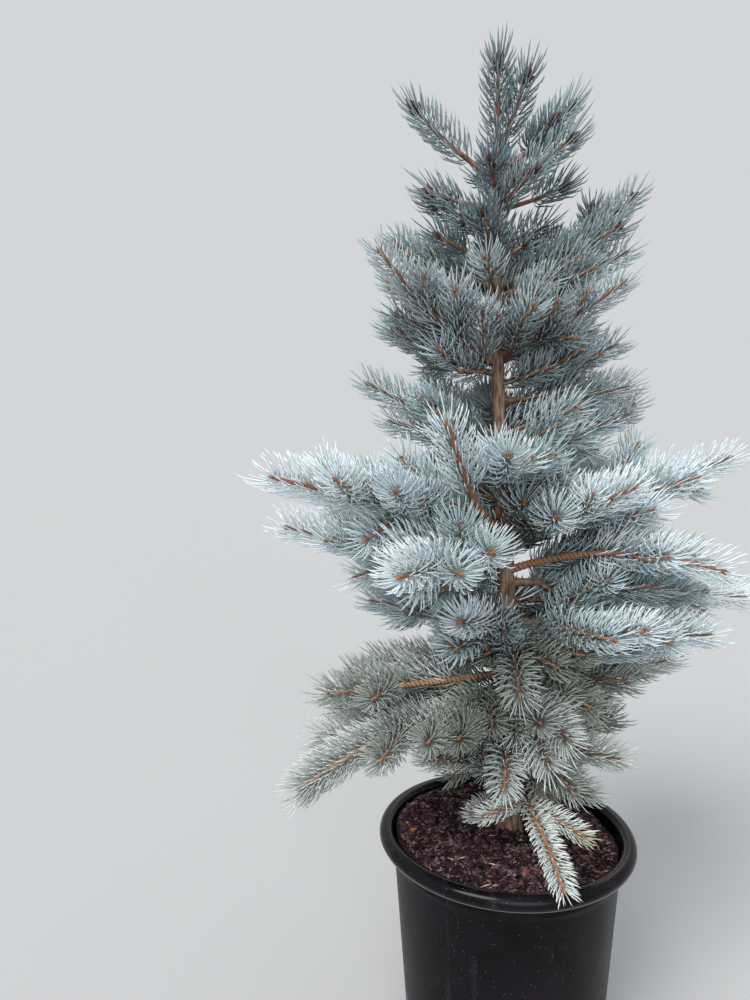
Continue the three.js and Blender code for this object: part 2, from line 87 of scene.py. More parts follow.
# %% [markdown]
# ## Chance that repeats
#
# A plant needs irregularity, but a script must give the same plant every time. A random generator would do
# that too, with a fixed seed. Here a number is mixed from a seed and a counter instead, so that each shoot
# has its own chances, and a change to one shoot leaves its neighbours as they were.

# %% Chance and noise
TO_32_BITS = np.uint64(0xFFFFFFFF)


def chance(seed, counter):
    """A number from 0 to 1. Seed and counter are multiplied by large odd numbers and added, and the high
    bits are folded onto the low ones twice."""
    seed = np.asarray(seed).astype(np.uint64)
    counter = np.asarray(counter).astype(np.uint64)
    mixed = seed * np.uint64(374761393) + counter * np.uint64(668265263) + np.uint64(1442695041)
    mixed = mixed & TO_32_BITS
    mixed = ((mixed ^ (mixed >> np.uint64(13))) * np.uint64(1274126177)) & TO_32_BITS
    mixed = mixed ^ (mixed >> np.uint64(16))
    return mixed / 4294967296.0


def noise(points, size, seed):
    """Smooth noise from -1 to 1. Each corner of a lattice with cells of this size has its own chance, and a
    point takes the blend of the eight corners round it, eased so that the cells don't show."""
    place = np.asarray(points, dtype=float) / size + 1000.0
    cell = np.floor(place).astype(np.int64)
    share = place - cell
    share = share * share * (3.0 - 2.0 * share)
    total = np.zeros(place.shape[:-1])
    for corner in range(8):
        step = np.array([corner & 1, (corner >> 1) & 1, (corner >> 2) & 1])
        weight = np.prod(np.where(step == 1, share, 1.0 - share), axis=-1)
        at = cell + step
        total += weight * chance(at[..., 0] * 7919 + at[..., 1] * 104729 + seed, at[..., 2])
    return 2.0 * total - 1.0


print("one chance", round(float(chance(5, 3)), 4))

# %% [markdown]
# ## From arrays to meshes
#
# One kind of surface is enough for almost the whole plant: rings of points round an axis, closed by a pole at
# each end. On a straight axis that makes the trunk, the pot and the mound, and along curves it makes the
# wood of the shoots. Whole arrays hold all the rings at once, and one helper puts them into a mesh. Blender's
# curve objects could make the tubes, but more than a thousand of them would be slow.

# %% Mesh helpers
def unit(vectors):
    """Each vector divided by its length."""
    return vectors / np.maximum(np.linalg.norm(vectors, axis=-1, keepdims=True), 1e-9)


def angles_round(count):
    """That many angles at even steps round a circle."""
    return np.arange(count) * 2.0 * np.pi / count


def round_axis(out, angle, height):
    """Points at a distance out from the upright axis, at an angle and a height."""
    return np.stack(np.broadcast_arrays(out * np.cos(angle), out * np.sin(angle), height), axis=-1)


print("four points round the axis:", round_axis(10.0, angles_round(4), 0.0).round(1).tolist())

# %% Meshes of points and faces
def put_mesh(name, points, face_sets, uv_sets=None, smooth=True):
    """Makes a mesh object at the origin from points in millimetres and arrays of triangles and quads."""
    mesh = bpy.data.meshes.new(name)
    corners = np.concatenate([faces.ravel() for faces in face_sets]).astype(np.int32)
    sizes = np.concatenate([np.full(len(faces), faces.shape[1]) for faces in face_sets])
    starts = (np.cumsum(sizes) - sizes).astype(np.int32)
    mesh.vertices.add(len(points))
    mesh.vertices.foreach_set("co", (points * MM).astype(np.float32).ravel())
    mesh.loops.add(len(corners))
    mesh.loops.foreach_set("vertex_index", corners)
    mesh.polygons.add(len(sizes))
    mesh.polygons.foreach_set("loop_start", starts)
    if uv_sets is not None:
        layer = mesh.uv_layers.new(name="UVMap")
        layer.data.foreach_set("uv", np.concatenate([uv.ravel() for uv in uv_sets]).astype(np.float32))
    mesh.update(calc_edges=True)
    mesh.polygons.foreach_set("use_smooth", np.full(len(sizes), smooth))
    piece = bpy.data.objects.new(name, mesh)
    bpy.context.scene.collection.objects.link(piece)
    print(name, "has", int((sizes - 2).sum()), "triangles")
    return piece


def ring_faces(rows, columns, turned_over=False):
    """Quads from each ring to the next, and a fan at each end to a pole. The two poles come after the ring
    points. The faces look outwards where the rings rise, and are turned over where the rings fall."""
    column = np.arange(columns)
    beside = (column + 1) % columns
    row = np.arange(rows - 1)[:, None] * columns
    above = row + columns
    quads = np.stack([row + column, row + beside, above + beside, above + column], axis=-1).reshape(-1, 4)
    last = (rows - 1) * columns
    pole = np.full(columns, rows * columns)
    fans = np.concatenate([np.stack([beside, column, pole], axis=-1),
                           np.stack([last + column, last + beside, pole + 1], axis=-1)])
    if turned_over:
        return quads[:, ::-1], fans[:, [1, 0, 2]]
    return quads, fans


print("quads and fan triangles on 3 rings of 8 points:", [len(faces) for faces in ring_faces(3, 8)])

# %% Tubes along curves
PEG_WIDTH = 1.6
FEWEST_PEGS_ROUND = 4.0
ROOT_POLE_OUT = 0.3
TIP_POLE_OUT = 0.6


def tubes(paths, radii, sides, relief=0.0):
    """Round tubes along many paths at once. Each ring is its centre plus radius times the cosine and sine of
    the angle along two directions square to the path, and the relief is added to the radius. The poles stand
    a share of the radius past the ends. The UV map counts pegs round the tube and metres along it."""
    count, rings = radii.shape
    ahead = unit(np.gradient(paths, axis=1))
    chord = unit(paths[:, -1] - paths[:, 0])
    upright = np.abs(chord[:, 2:]) > 0.9
    guide = np.where(upright, np.array([1.0, 0.0, 0.0]), np.array([0.0, 0.0, 1.0]))[:, None, :]
    beside = unit(np.cross(ahead, guide))
    above = np.cross(beside, ahead)
    angle = angles_round(sides)[:, None]
    ring = beside[:, :, None, :] * np.cos(angle) + above[:, :, None, :] * np.sin(angle)
    body = paths[:, :, None, :] + ring * (radii[:, :, None] + relief)[..., None]
    poles = np.stack([paths[:, 0] - ahead[:, 0] * radii[:, :1] * ROOT_POLE_OUT,
                      paths[:, -1] + ahead[:, -1] * radii[:, -1:] * TIP_POLE_OUT], axis=1)
    points = np.concatenate([body.reshape(count, -1, 3), poles], axis=1)
    first_point = (np.arange(count) * points.shape[1])[:, None, None]
    quads, fans = ((faces[None] + first_point).reshape(-1, faces.shape[1])
                   for faces in ring_faces(rings, sides, True))
    span = np.linalg.norm(np.diff(paths, axis=1), axis=-1)
    along = np.concatenate([np.zeros((count, 1)), np.cumsum(span, axis=1)], axis=1) * MM
    pegs_round = np.round(2.0 * np.pi * radii.mean(axis=1) / PEG_WIDTH)
    pegs_round = np.maximum(pegs_round, FEWEST_PEGS_ROUND)[:, None, None, None]
    u = (np.arange(sides)[:, None] + np.array([0, 1, 1, 0])) / sides * pegs_round
    v = along[:, np.arange(rings - 1)[:, None] + np.array([1, 1, 0, 0])][:, :, None]
    quad_uv = np.stack(np.broadcast_arrays(u, v), axis=-1).reshape(-1, 4, 2)
    return points.reshape(-1, 3), [quads, fans], [quad_uv, np.zeros((len(fans), 3, 2))]


print("each needle peg is", PEG_WIDTH, "mm wide on a tube")

# %% [markdown]
# ## Sizes
#
# These are the sizes of the CAD model, written again, because the solids and the dressed plant must agree.
# The trunk leans a little to the left and bows faintly. Its radius falls evenly to the top, and swells where
# it leaves the compost.

# %% Sizes of the pot and the trunk
POT_HEIGHT = 300.0
RIM_RADIUS = 185.0
ROLL_RADIUS = 10.5
SHOULDER_RADIUS = 166.0
BASE_RADIUS = 143.0
BASE_LIP = 3.0
BASE_LIP_HEIGHT = 14.0
POT_WALL = 3.5
POT_FLOOR = 4.0
COMPOST_LEVEL = 278.0
COMPOST_EDGE_LEVEL = 270.0
COMPOST_PAD_RADIUS = 34.0
TRUNK_FOOT = 278.3
TRUNK_TOP = 1245.0
UP = np.array([0.0, 0.0, 1.0])


def trunk_centre(height):
    """The middle of the trunk at a height: a steady lean to the left plus two faint waves."""
    height = np.asarray(height, dtype=float)
    share = (height - TRUNK_FOOT) / (TRUNK_TOP - TRUNK_FOOT)
    x = 5.0 - 28.0 * share + 4.0 * np.sin(2.0 * np.pi * share)
    y = 2.5 * np.sin(3.0 * np.pi * share)
    return np.stack([x, y, height], axis=-1)


def trunk_radius(height, angle=0.0):
    """From 16.5 mm at the foot to 5 mm at the top, plus a flare and four root swellings that die away."""
    share = np.clip((height - TRUNK_FOOT) / (TRUNK_TOP - TRUNK_FOOT), 0.0, 1.0)
    fall = np.exp((TRUNK_FOOT - height) / 20.0)
    return 16.5 - 11.5 * share ** 1.1 + 7.0 * fall + 2.2 * fall * np.cos(4.0 * angle)


print("trunk radius in mm at foot and top", trunk_radius(TRUNK_FOOT), trunk_radius(TRUNK_TOP))

# %% [markdown]
# ## Where the boughs are
#
# A young spruce puts out a whorl of boughs each year, at the height that its tip had reached, and a few
# weaker ones between the whorls. Each row names one bough: the height of its root on the trunk, its compass
# angle seen from above, its reach from the trunk, the height of its tip, how far it stays bare, and how far
# it arches up in the middle. The second table holds the weaker ones, which are too slight for the CAD model
# and neither bare nor arched.

# %% Table of boughs
BOUGHS = [
    ("top_left", 1225, 183, 138, 1342, 0, 0),
    ("top_right", 1232, -4, 119, 1345, 0, 0),
    ("top_front_right", 1212, -34, 132, 1272, 0, 0),
    ("top_front", 1200, 254, 99, 1238, 0, 0),
    ("top_left_low", 1184, 178, 124, 1218, 0, 0),
    ("top_right_low", 1182, 4, 122, 1232, 0, 0),
    ("top_back", 1205, 75, 150, 1310, 0, 0),
    ("high_right", 1078, 12, 232, 1238, 0, 0),
    ("high_right_low", 1056, -6, 190, 1130, 0, 0),
    ("high_back", 1066, 80, 190, 1200, 0, 0),
    ("high_back_left", 1080, 138, 200, 1185, 0, 0),
    ("upper_front_right", 985, -32, 186, 1076, 55, 0),
    ("upper_front_left", 970, 215, 219, 1112, 65, 0),
    ("upper_left", 956, 190, 165, 1025, 0, 0),
    ("upper_right", 944, -8, 175, 1002, 0, 0),
    ("upper_right_low", 920, 14, 220, 944, 0, 0),
    ("upper_back_right", 975, 52, 240, 1065, 0, 0),
    ("upper_back_left", 980, 130, 240, 1065, 0, 0),
    ("middle_left", 872, 172, 205, 955, 0, 0),
    ("middle_right", 858, 22, 250, 925, 0, 0),
    ("middle_back", 868, 100, 260, 950, 0, 0),
    ("wide_front_left", 738, 241, 218, 903, 165, -40),
    ("wide_left", 756, 209, 366, 824, 85, 0),
    ("wide_front", 720, 240, 335, 718, 0, 0),
    ("wide_front_right", 738, -48, 216, 815, 60, 0),
    ("wide_right", 752, 2, 340, 845, 0, 0),
    ("wide_back_right", 772, 48, 315, 830, 0, 0),
    ("wide_back", 757, 92, 320, 840, 0, 0),
    ("wide_back_left", 742, 140, 325, 815, 0, 0),
    ("broad_front_right", 677, -34, 305, 700, 125, 60),
    ("broad_left", 684, 180, 330, 745, 0, 0),
    ("broad_right", 662, -3, 350, 642, 0, 0),
    ("low_right", 606, -26, 285, 614, 0, 0),
    ("low_back_right", 598, 45, 300, 640, 0, 0),
    ("low_back_left", 606, 135, 310, 640, 0, 0),
    ("skirt_left", 528, 206, 300, 540, 165, 0),
    ("skirt_front", 512, 284, 146, 427, 0, 0),
    ("skirt_front_right", 534, -42, 152, 498, 0, 0),
    ("skirt_right", 520, 6, 260, 540, 0, 0),
    ("skirt_back", 526, 92, 290, 560, 0, 0),
    ("foot_left", 438, 213, 358, 430, 110, 90),
    ("foot_front_left", 410, 222, 185, 455, 0, 0),
    ("foot_right", 432, -28, 175, 430, 0, 0),
    ("foot_front_right", 406, -52, 163, 398, 0, 0),
    ("foot_back_right", 425, 48, 240, 450, 0, 0),
    ("foot_back_left", 440, 135, 250, 455, 0, 0),
    ("hem_front", 368, 278, 222, 322, 0, 26),
    ("hem_front_left", 350, 235, 130, 362, 0, 0),
]
print(len(BOUGHS), "boughs stand in the CAD model too")

# %% Table of weaker boughs
BETWEEN_WHORLS = [
    ("spur_top_left", 1147, 228, 96, 1152),
    ("spur_top_right", 1112, -45, 62, 1137),
    ("spur_top_front", 1125, 262, 66, 1146),
    ("spur_high_left", 1110, 205, 112, 1145),
    ("spur_upper_front", 1010, 262, 92, 1030),
    ("spur_middle_front", 850, 305, 120, 893),
    ("spur_middle_left", 880, 225, 120, 905),
    ("spur_low_left", 590, 230, 165, 603),
    ("spur_low_front", 640, 275, 150, 612),
    ("spur_wide_front", 762, 276, 118, 790),
    ("spur_wide_front_right", 792, 300, 130, 826),
    ("spur_high_front", 1068, 252, 110, 1105),
    ("spur_high_front_right", 1035, 292, 118, 1062),
    ("spur_front_left", 612, 234, 165, 592),
    ("spur_front", 592, 266, 172, 538),
    ("spur_skirt_front_left", 512, 230, 190, 486),
    ("spur_skirt_front_right", 522, 292, 160, 468),
    ("spur_foot_front", 462, 258, 158, 408),
    ("spur_foot_front_right", 440, 300, 150, 392),
]
ALL_BOUGHS = BOUGHS + [(*row, 0, 0) for row in BETWEEN_WHORLS]

# Shares of the length where these boughs fork. The youngest are single shoots.
OWN_FORKS = {
    "top_left": (), "top_right": (0.42,), "top_front_right": (), "top_front": (), "top_left_low": (),
    "top_right_low": (), "top_back": (0.5,), "hem_front": (), "hem_front_left": (),
    "foot_left": (0.22, 0.38, 0.56), "spur_top_left": (), "spur_top_right": (), "spur_top_front": (),
}

# Twigs that stand out in front: where on the bough they fork, and how far their tip is from the fork.
OWN_TWIGS = {"hem_front": ((0.37, (-62.0, -28.0, -6.0)), (0.42, (61.0, -50.0, -15.0)))}

BOUGH_NAMES = [name for name, *_ in BOUGHS]
LIMBS = [name for name, _, _, _, _, bare, _ in BOUGHS if bare > 0]
print(len(BETWEEN_WHORLS), "boughs between the whorls;", len(LIMBS), "of the main ones have a bare limb")

# %% [markdown]
# ## How a shoot grows
#
# A bough is a quadratic curve: it leaves the trunk low and lifts towards its tip. Side shoots leave it in
# pairs, at about 45 to 60 degrees, and are shorter towards the tip, so that a bough is a flat spray with the
# outline of an arrowhead. The same rule grows twigs on the twigs. The CAD model uses it down to the second
# twig, and here it carries on to the finest ones, within the same reach. Twigs lift a little at their tips,
# but those near the pot droop, as on the shaded boughs of a real spruce.

# %% Points on a curve
def on_curve(curve, t):
    """The point of a quadratic curve: (1 - t) squared of its first point, 2 t (1 - t) of the middle one and
    t squared of the last. Many curves may be given at once, with a share t for each."""
    t = np.asarray(t, dtype=float)
    weights = np.stack([(1 - t) ** 2, 2 * t * (1 - t), t * t], axis=-1)
    return np.einsum("...k,...kd->...d", weights, curve)


def along_curve(curve, t):
    """The direction of the curve there, of length one."""
    t = np.asarray(t, dtype=float)[..., None]
    return unit((1 - t) * (curve[..., 1, :] - curve[..., 0, :]) + t * (curve[..., 2, :] - curve[..., 1, :]))


def curve_length(curve):
    """Twice the chord plus the two legs, divided by three."""
    chord = np.linalg.norm(curve[2] - curve[0])
    return (2 * chord + np.linalg.norm(curve[1] - curve[0]) + np.linalg.norm(curve[2] - curve[1])) / 3


BEND = np.array([[0.0, 0.0, 0.0], [1.0, 0.0, 0.0], [1.0, 1.0, 0.0]])
print("half way round a bend:", on_curve(BEND, 0.5), "of length", round(curve_length(BEND), 3))

# %% Curves of boughs and twigs
RISING_SWEEP = 0.28
FALLING_SWEEP = 0.15
FORK_ANGLE = 44.0
FORK_SPREAD = 14.0
DROOP_HEIGHTS = (440.0, 640.0)
DROOP_LIFTS = (-0.12, 0.06)


def bough_curve(base, azimuth, reach, tip, arch):
    """From the trunk's centre outwards by the reach. The middle point lags behind on the rise."""
    turn = math.radians(azimuth)
    out = np.array([math.cos(turn), math.sin(turn), 0.0])
    start = trunk_centre(base)
    rise = tip - base
    sweep = RISING_SWEEP if rise > 0 else FALLING_SWEEP
    middle = start + out * reach / 2 + UP * (rise * sweep + arch)
    return np.array([start, middle, start + out * reach + UP * rise])


def shorten(curve, cut):
    """The same curve without the last stretch: the part up to t is again quadratic, with its middle point at
    the share t of the first leg."""
    t = 1.0 - min(cut / curve_length(curve), 0.45)
    return np.array([curve[0], curve[0] + (curve[1] - curve[0]) * t, on_curve(curve, t)])


def twig_curve(parent, t, side, reach, seed, roll=0.0):
    """Leaves the parent at the fork angle to one side, rolled round the parent by the roll angle, then bends
    a little back towards the parent's direction, and up, or down where it is low on the plant."""
    start = on_curve(parent, t)
    ahead = along_curve(parent, t)
    sideways = unit(np.cross(ahead, UP)) * side
    above = np.cross(sideways, ahead) * side
    angle = math.radians(FORK_ANGLE + FORK_SPREAD * float(chance(seed, 1)))
    tilt = 0.5 * (float(chance(seed, 2)) - 0.42)
    outward = sideways * math.cos(roll) + above * (math.sin(roll) + tilt)
    away = unit(ahead * math.cos(angle) + outward * math.sin(angle))
    lift = float(np.interp(start[2], DROOP_HEIGHTS, DROOP_LIFTS))
    tip = start + away * 0.88 * reach + ahead * 0.14 * reach + UP * lift * reach
    return np.array([start, start + away * reach / 2, tip])


print("length of the longest bough in mm", round(curve_length(bough_curve(756, 209, 366, 824, 0))))

# %% [markdown]
# ## Growing the whole crown
#
# The growth is a list that feeds itself: each shoot is stored, and then its own side shoots are grown. A
# shoot that would pass through the trunk or the pot, or leave the box of the CAD model, is left out. So is
# one that would hide the stretches of bare wood that show from the front. The list holds some hundreds of
# shoots, which is small, so plain Python is fast enough here.

# %% What a shoot keeps clear of
BOX_MARGIN = 12.0
LOW = np.array(cad_low) / MM
HIGH = np.array(cad_high) / MM


def in_the_way(curve):
    """True where a curve passes through the trunk, apart from its root, the pot or the compost, or leaves
    the box."""
    points = on_curve(curve, np.linspace(0.25, 1.0, 7))
    height = points[:, 2]
    from_trunk = np.linalg.norm(points[:, :2] - trunk_centre(np.minimum(height, TRUNK_TOP))[:, :2], axis=-1)
    hits_trunk = (from_trunk < trunk_radius(height) + 2.0) & (height < TRUNK_TOP)
    radius = np.linalg.norm(points[:, :2], axis=-1)
    near_pot = (radius < RIM_RADIUS + 5.0) & (height < POT_HEIGHT + 3.0)
    in_opening = (radius < SHOULDER_RADIUS - 8.0) & (height > COMPOST_LEVEL + 6.0)
    outside = ((points < LOW + BOX_MARGIN) | (points > HIGH - BOX_MARGIN)).any(axis=-1) & (height > 60.0)
    return bool(hits_trunk.any() or (near_pot & ~in_opening).any() or outside.any())


# Bare wood that shows from the front: stretches of the trunk, and shares of three boughs with their names.
VIEWPOINT = np.array(CAMERA_PLACE) / MM
OPEN_TRUNK = ((888.0, 972.0), (628.0, 662.0))
OPEN_BOUGHS = {"wide_front_left": (0.16, 0.62), "skirt_left": (0.14, 0.56), "broad_front_right": (0.08, 0.44)}
SIGHT_WIDTH = 0.026
SIGHT_DEPTH = 6.0
bare_wood = [trunk_centre(np.linspace(low, high, 6)) for low, high in OPEN_TRUNK]
for bough_name, (first, last) in OPEN_BOUGHS.items():
    base, azimuth, reach, tip, _, arch = BOUGHS[BOUGH_NAMES.index(bough_name)][1:]
    bare_wood.append(on_curve(bough_curve(base, azimuth, reach, tip, arch), np.linspace(first, last, 8)))
bare_lines = np.concatenate(bare_wood) - VIEWPOINT
bare_distance = np.linalg.norm(bare_lines, axis=-1)


def covers_bare_wood(curve):
    """True where a shoot crosses the line of sight to the bare wood: the angle between the two lines from the
    viewpoint is small, and the shoot is the nearer one."""
    lines = on_curve(curve, np.linspace(0.35, 1.0, 6)) - VIEWPOINT
    in_line = unit(lines) @ unit(bare_lines).T > math.cos(SIGHT_WIDTH)
    nearer = np.linalg.norm(lines, axis=-1)[:, None] < bare_distance[None] - SIGHT_DEPTH
    return bool((in_line & nearer).any())


print(len(bare_lines), "points of bare wood are kept in sight")

# %% Grow the shoots
SHORTEST_SHOOT = 40.0
FINEST_LEVEL = 3
TWIG_SHARE = 0.62
LONGEST_TWIG = 150.0
TWIG_CHANCE = 0.35
WEAK_PLACES = (0.14, 0.35, 0.58)
WEAK_SHARE = 0.40
UPRIGHT_SHARE = 0.46
LONGEST_WEAK_TWIG = 95.0
ROLLS = (math.radians(66.0), math.radians(-62.0))


def fork_places(length):
    """Shares of the length where strong side shoots stand: one more place for each year of growth."""
    if length > 250.0:
        return (0.24, 0.45, 0.69)
    if length > 140.0:
        return (0.36, 0.66)
    return (0.55,) if length > 64.0 else ()


shoots = []


def grow(curve, level, seed, family, forks=None):
    """Stores a shoot and grows its side shoots: at each fork a pair and one above or below, and weaker pairs
    between the forks of a bough. A bough with forks of its own has only pairs there, which don't fork."""
    length = curve_length(curve)
    if level > 0 and (length < SHORTEST_SHOOT or in_the_way(curve)):
        return
    if (level > 0 or family >= len(BOUGHS)) and covers_bare_wood(curve):
        return
    shoots.append({"curve": curve, "level": level, "seed": seed, "family": family, "length": length})
    if level >= FINEST_LEVEL:
        return
    for order, place in enumerate(fork_places(length) if forks is None else forks):
        for side in (-1, 1):
            own = seed * 31 + order * 7 + side * 3 + 14
            share = 1.0 - TWIG_CHANCE / 2 + TWIG_CHANCE * float(chance(own, 5))
            reach = min(TWIG_SHARE * share * (1.0 - place) * length, LONGEST_TWIG)
            grow(twig_curve(curve, place, side, reach, own), level + 1, own, family, forks and ())
        if forks is not None:
            continue
        own = seed * 37 + order * 11 + 5
        reach = min(UPRIGHT_SHARE * (1.0 - place) * length, LONGEST_WEAK_TWIG)
        side = 1 - 2 * (order % 2)
        grow(twig_curve(curve, place + 0.03, side, reach, own, ROLLS[own % 2]), level + 1, own, family)
    weak_places = WEAK_PLACES if level == 0 and length > 140.0 and forks is None else ()
    for order, place in enumerate(weak_places):
        for side in (-1, 1):
            own = seed * 41 + order * 13 + side * 5 + 19
            shift = 0.05 * (float(chance(own, 6)) - 0.5)
            share = WEAK_SHARE * (0.8 + 0.4 * float(chance(own, 5)))
            reach = min(share * (1.0 - place) * length, LONGEST_WEAK_TWIG)
            roll = math.radians(50.0 * (float(chance(own, 7)) - 0.5))
            grow(twig_curve(curve, place + shift, side, reach, own, roll), level + 1, own, family)


print("a bough of 300 mm forks at these shares of its length:", fork_places(300.0))

# %% Boughs on the trunk
# The wood ends short of the reach, because needles carry on past it.
CUT, CUT_AT_TOP, CUT_ON_HEM = 18.0, 30.0, 8.0
AT_TOP_FROM = 1200.0

for index, (name, base, azimuth, reach, tip, bare, arch) in enumerate(ALL_BOUGHS):
    cut = CUT_AT_TOP if tip > AT_TOP_FROM else CUT_ON_HEM if name == "hem_front" else CUT
    curve = shorten(bough_curve(base, azimuth, reach, tip, arch), cut)
    grow(curve, 0, index + 1, index, OWN_FORKS.get(name))
    for order, (place, offset) in enumerate(OWN_TWIGS.get(name, ())):
        fork = on_curve(curve, place)
        offset = np.array(offset)
        grow(np.array([fork, fork + offset * 0.5 + UP * 5.0, fork + offset]), 1, 950 + order, index, ())
print(len(shoots), "shoots on the named boughs")

# %% [markdown]
# ## Filling the crown
#
# Between the named boughs a spruce has many short ones, which make the crown thick round the trunk. Setting
# each by hand would be slow, and chance alone would leave clumps. The golden angle, about 137.5 degrees,
# turns each one away from all those before it, as the plant itself does. Their reach follows the outline of
# the crown.

# %% Short boughs between the whorls
CROWN_HEIGHTS = (300.0, 430.0, 600.0, 750.0, 860.0, 980.0, 1080.0, 1180.0, 1260.0)
CROWN_REACHES = (190.0, 270.0, 330.0, 360.0, 260.0, 230.0, 200.0, 140.0, 110.0)
FILLER_FROM, FILLER_UNTIL, FILLER_STEP = 440.0, 1190.0, 24.0
FILLER_SHARE = 0.50
FILLER_ARCH = 6.0
GOLDEN_TURN = math.radians(137.508)

filler_bases = np.arange(FILLER_FROM, FILLER_UNTIL, FILLER_STEP)
for serial, base in enumerate(filler_bases):
    azimuth = math.degrees(serial * GOLDEN_TURN) % 360.0
    reach = float(np.interp(base, CROWN_HEIGHTS, CROWN_REACHES)) * FILLER_SHARE
    reach = reach * (0.85 + 0.3 * float(chance(serial, 31)))
    lift = 0.12 + 0.30 * (base - FILLER_FROM) / (FILLER_UNTIL - FILLER_FROM)
    curve = bough_curve(base, azimuth, reach, base + reach * lift, FILLER_ARCH)
    grow(curve, 0, 500 + serial, 60 + serial)
print(len(filler_bases), "short boughs")

# %% [markdown]
# ## The leader
#
# The tip of the trunk is the leader: a straight upright shoot. This plant has a second one that competes
# with it. The youngest stretch of the trunk below them still carries needles, so it counts as a shoot too,
# but it has no wood of its own here.

# %% Leader, rival and needled trunk
LEADER, RIVAL, STEM = 200, 201, 202
LEADER_TIP = np.array([-23.0, 0.0, 1382.0])
leader_root = trunk_centre(TRUNK_TOP - 6.0)
leader_curve = np.array([leader_root, (leader_root + LEADER_TIP) / 2, LEADER_TIP])
rival_root = on_curve(leader_curve, 0.12)
rival_curve = np.array([rival_root, rival_root + [17.0, -4.0, 38.0], rival_root + [38.0, -8.0, 102.0]])
stem_curve = trunk_centre(np.array([1085.0, 1165.0, TRUNK_TOP]))
for family, curve in zip((LEADER, RIVAL, STEM), (leader_curve, rival_curve, stem_curve)):
    shoots.append({"curve": curve, "level": 0, "seed": 700 + family, "family": family,
                   "length": curve_length(curve)})
print(len(shoots), "shoots,", round(sum(s["length"] for s in shoots) / 1000.0, 1), "m in all")

# %% [markdown]
# ## The needles
#
# A blue spruce needle is four-sided and stiff. On this plant they are about 40 mm long, and shorter on the
# shaded lowest boughs, where they are also combed to the two sides. They stand all round the shoot on small
# pegs, in a spiral like the seeds of a sunflower. Hair particles could do this, but they have no faces to
# export. So each needle is a closed mesh of twelve triangles, and all of them are worked out in one go.
# First come the places: how thick the wood is, how many needles a shoot carries, and where each one stands.

# %% Thickness of the shoots
RADIUS_GAIN = 0.009

curves, lengths, levels, seeds, families = (
    np.array([shoot[key] for shoot in shoots]) for key in ("curve", "length", "level", "seed", "family"))
bare_until = np.zeros(len(shoots))
for index, (_, _, _, reach, _, bare, _) in enumerate(ALL_BOUGHS):
    own = (levels == 0) & (families == index)
    bare_until[own] = max(bare, 34.0 + 0.10 * reach) / lengths[own]

on_hem = families == BOUGH_NAMES.index("hem_front")
single = (levels == 0) & ((lengths < 150.0) | on_hem)
stout = (levels == 0) & ~single
top_share = np.clip((curves[:, 1, 2] - 1080.0) / 120.0, 0.0, 1.0)
root_radius = np.where(stout, 3.2, 2.2) + RADIUS_GAIN * lengths + 0.7 * top_share
tip_radius = np.where(stout, 2.2, 1.9) + 0.4 * top_share
thick = stout & (families == BOUGH_NAMES.index("wide_front_left"))
root_radius[thick] *= 1.30
tip_radius[thick] *= 1.50
leaders = families >= LEADER
root_radius[leaders] = (5.2, 3.4, 6.5)
tip_radius[leaders] = (2.6, 2.2, 5.0)


def shoot_radius(which, t):
    """The wood's radius on a shoot: it falls evenly from root to tip."""
    return root_radius[which] + (tip_radius[which] - root_radius[which]) * t


print("shoots are", round(2 * tip_radius.min(), 1), "to", round(2 * root_radius.max(), 1), "mm thick")

# %% Place the needles
NEEDLE_HEIGHTS = (370.0, 440.0, 620.0, 760.0, 860.0, 1080.0, 1250.0)
NEEDLES_PER_MM = (2.20, 2.00, 1.40, 1.22, 1.22, 1.25, 1.30)
FEWEST_NEEDLES = 8
SHED_SHARE = 0.45
STEEP = 0.92


def square_to(ahead):
    """Two directions square to each one given: the first is level, unless that one is steep, and the second
    completes them."""
    steep = np.abs(ahead[:, 2:]) > STEEP
    beside = unit(np.cross(ahead, np.where(steep, np.array([0.0, 1.0, 0.0]), UP)))
    return beside, np.cross(beside, ahead)


density = np.interp(curves[:, 1, 2], NEEDLE_HEIGHTS, NEEDLES_PER_MM)
density[(levels == 0) & (families == BOUGH_NAMES.index("foot_left"))] *= 2.0
counts = np.maximum((lengths * density).astype(int), FEWEST_NEEDLES)
which = np.repeat(np.arange(len(shoots)), counts)
serial = np.arange(len(which)) - np.repeat(np.cumsum(counts) - counts, counts)
t = (serial + 0.6) / counts[which]
shed = (levels[which] == 0) & (t < 0.5) & (chance(seeds[which] * 3 + 1, serial) < SHED_SHARE)
keep = (t > bare_until[which]) & ~shed
which, serial, t = which[keep], serial[keep], t[keep]

centre = on_curve(curves[which], t)
ahead = along_curve(curves[which], t)
beside, above = square_to(ahead)
turn = serial * GOLDEN_TURN + seeds[which] * 1.7
combed = 1.0 - 0.40 * on_hem[which] - 0.12 * np.clip((560.0 - centre[:, 2]) / 200.0, 0.0, 1.0)
radial = unit(beside * np.cos(turn)[:, None] + above * (np.sin(turn) * combed)[:, None])
print(len(which), "needles")

# %% [markdown]
# ## The set of each needle
#
# Two angles set a needle: how far it leans from the shoot at its root, and how it bends. The upper ones stand
# up and curve forwards, and the lower ones droop and curl up like claws. At the end of the shoot the needles
# close up round the bud. Small chances in length and angle keep the rows from looking machine-made. A needle
# whose tip would leave the box or pass through the pot is left out.

# %% Shape the needles
NEEDLE_LENGTHS = (26.0, 41.0, 43.0, 47.0, 44.0, 40.0, 40.0)
LEAN, LEAN_ABOVE, LEAN_CHANCE = 60.0, 10.0, 18.0
CLOSING, CLOSING_AT_TOP = 0.30, 0.38
CLOSING_SHARE, LONGEST_CLOSING = 0.20, 24.0
CURL, CURL_BELOW, CURL_AT_TOP = 0.11, 0.15, 0.07
STRETCHES = (0.30, 0.48, 0.22)
PAST_THE_BOX = 14.0

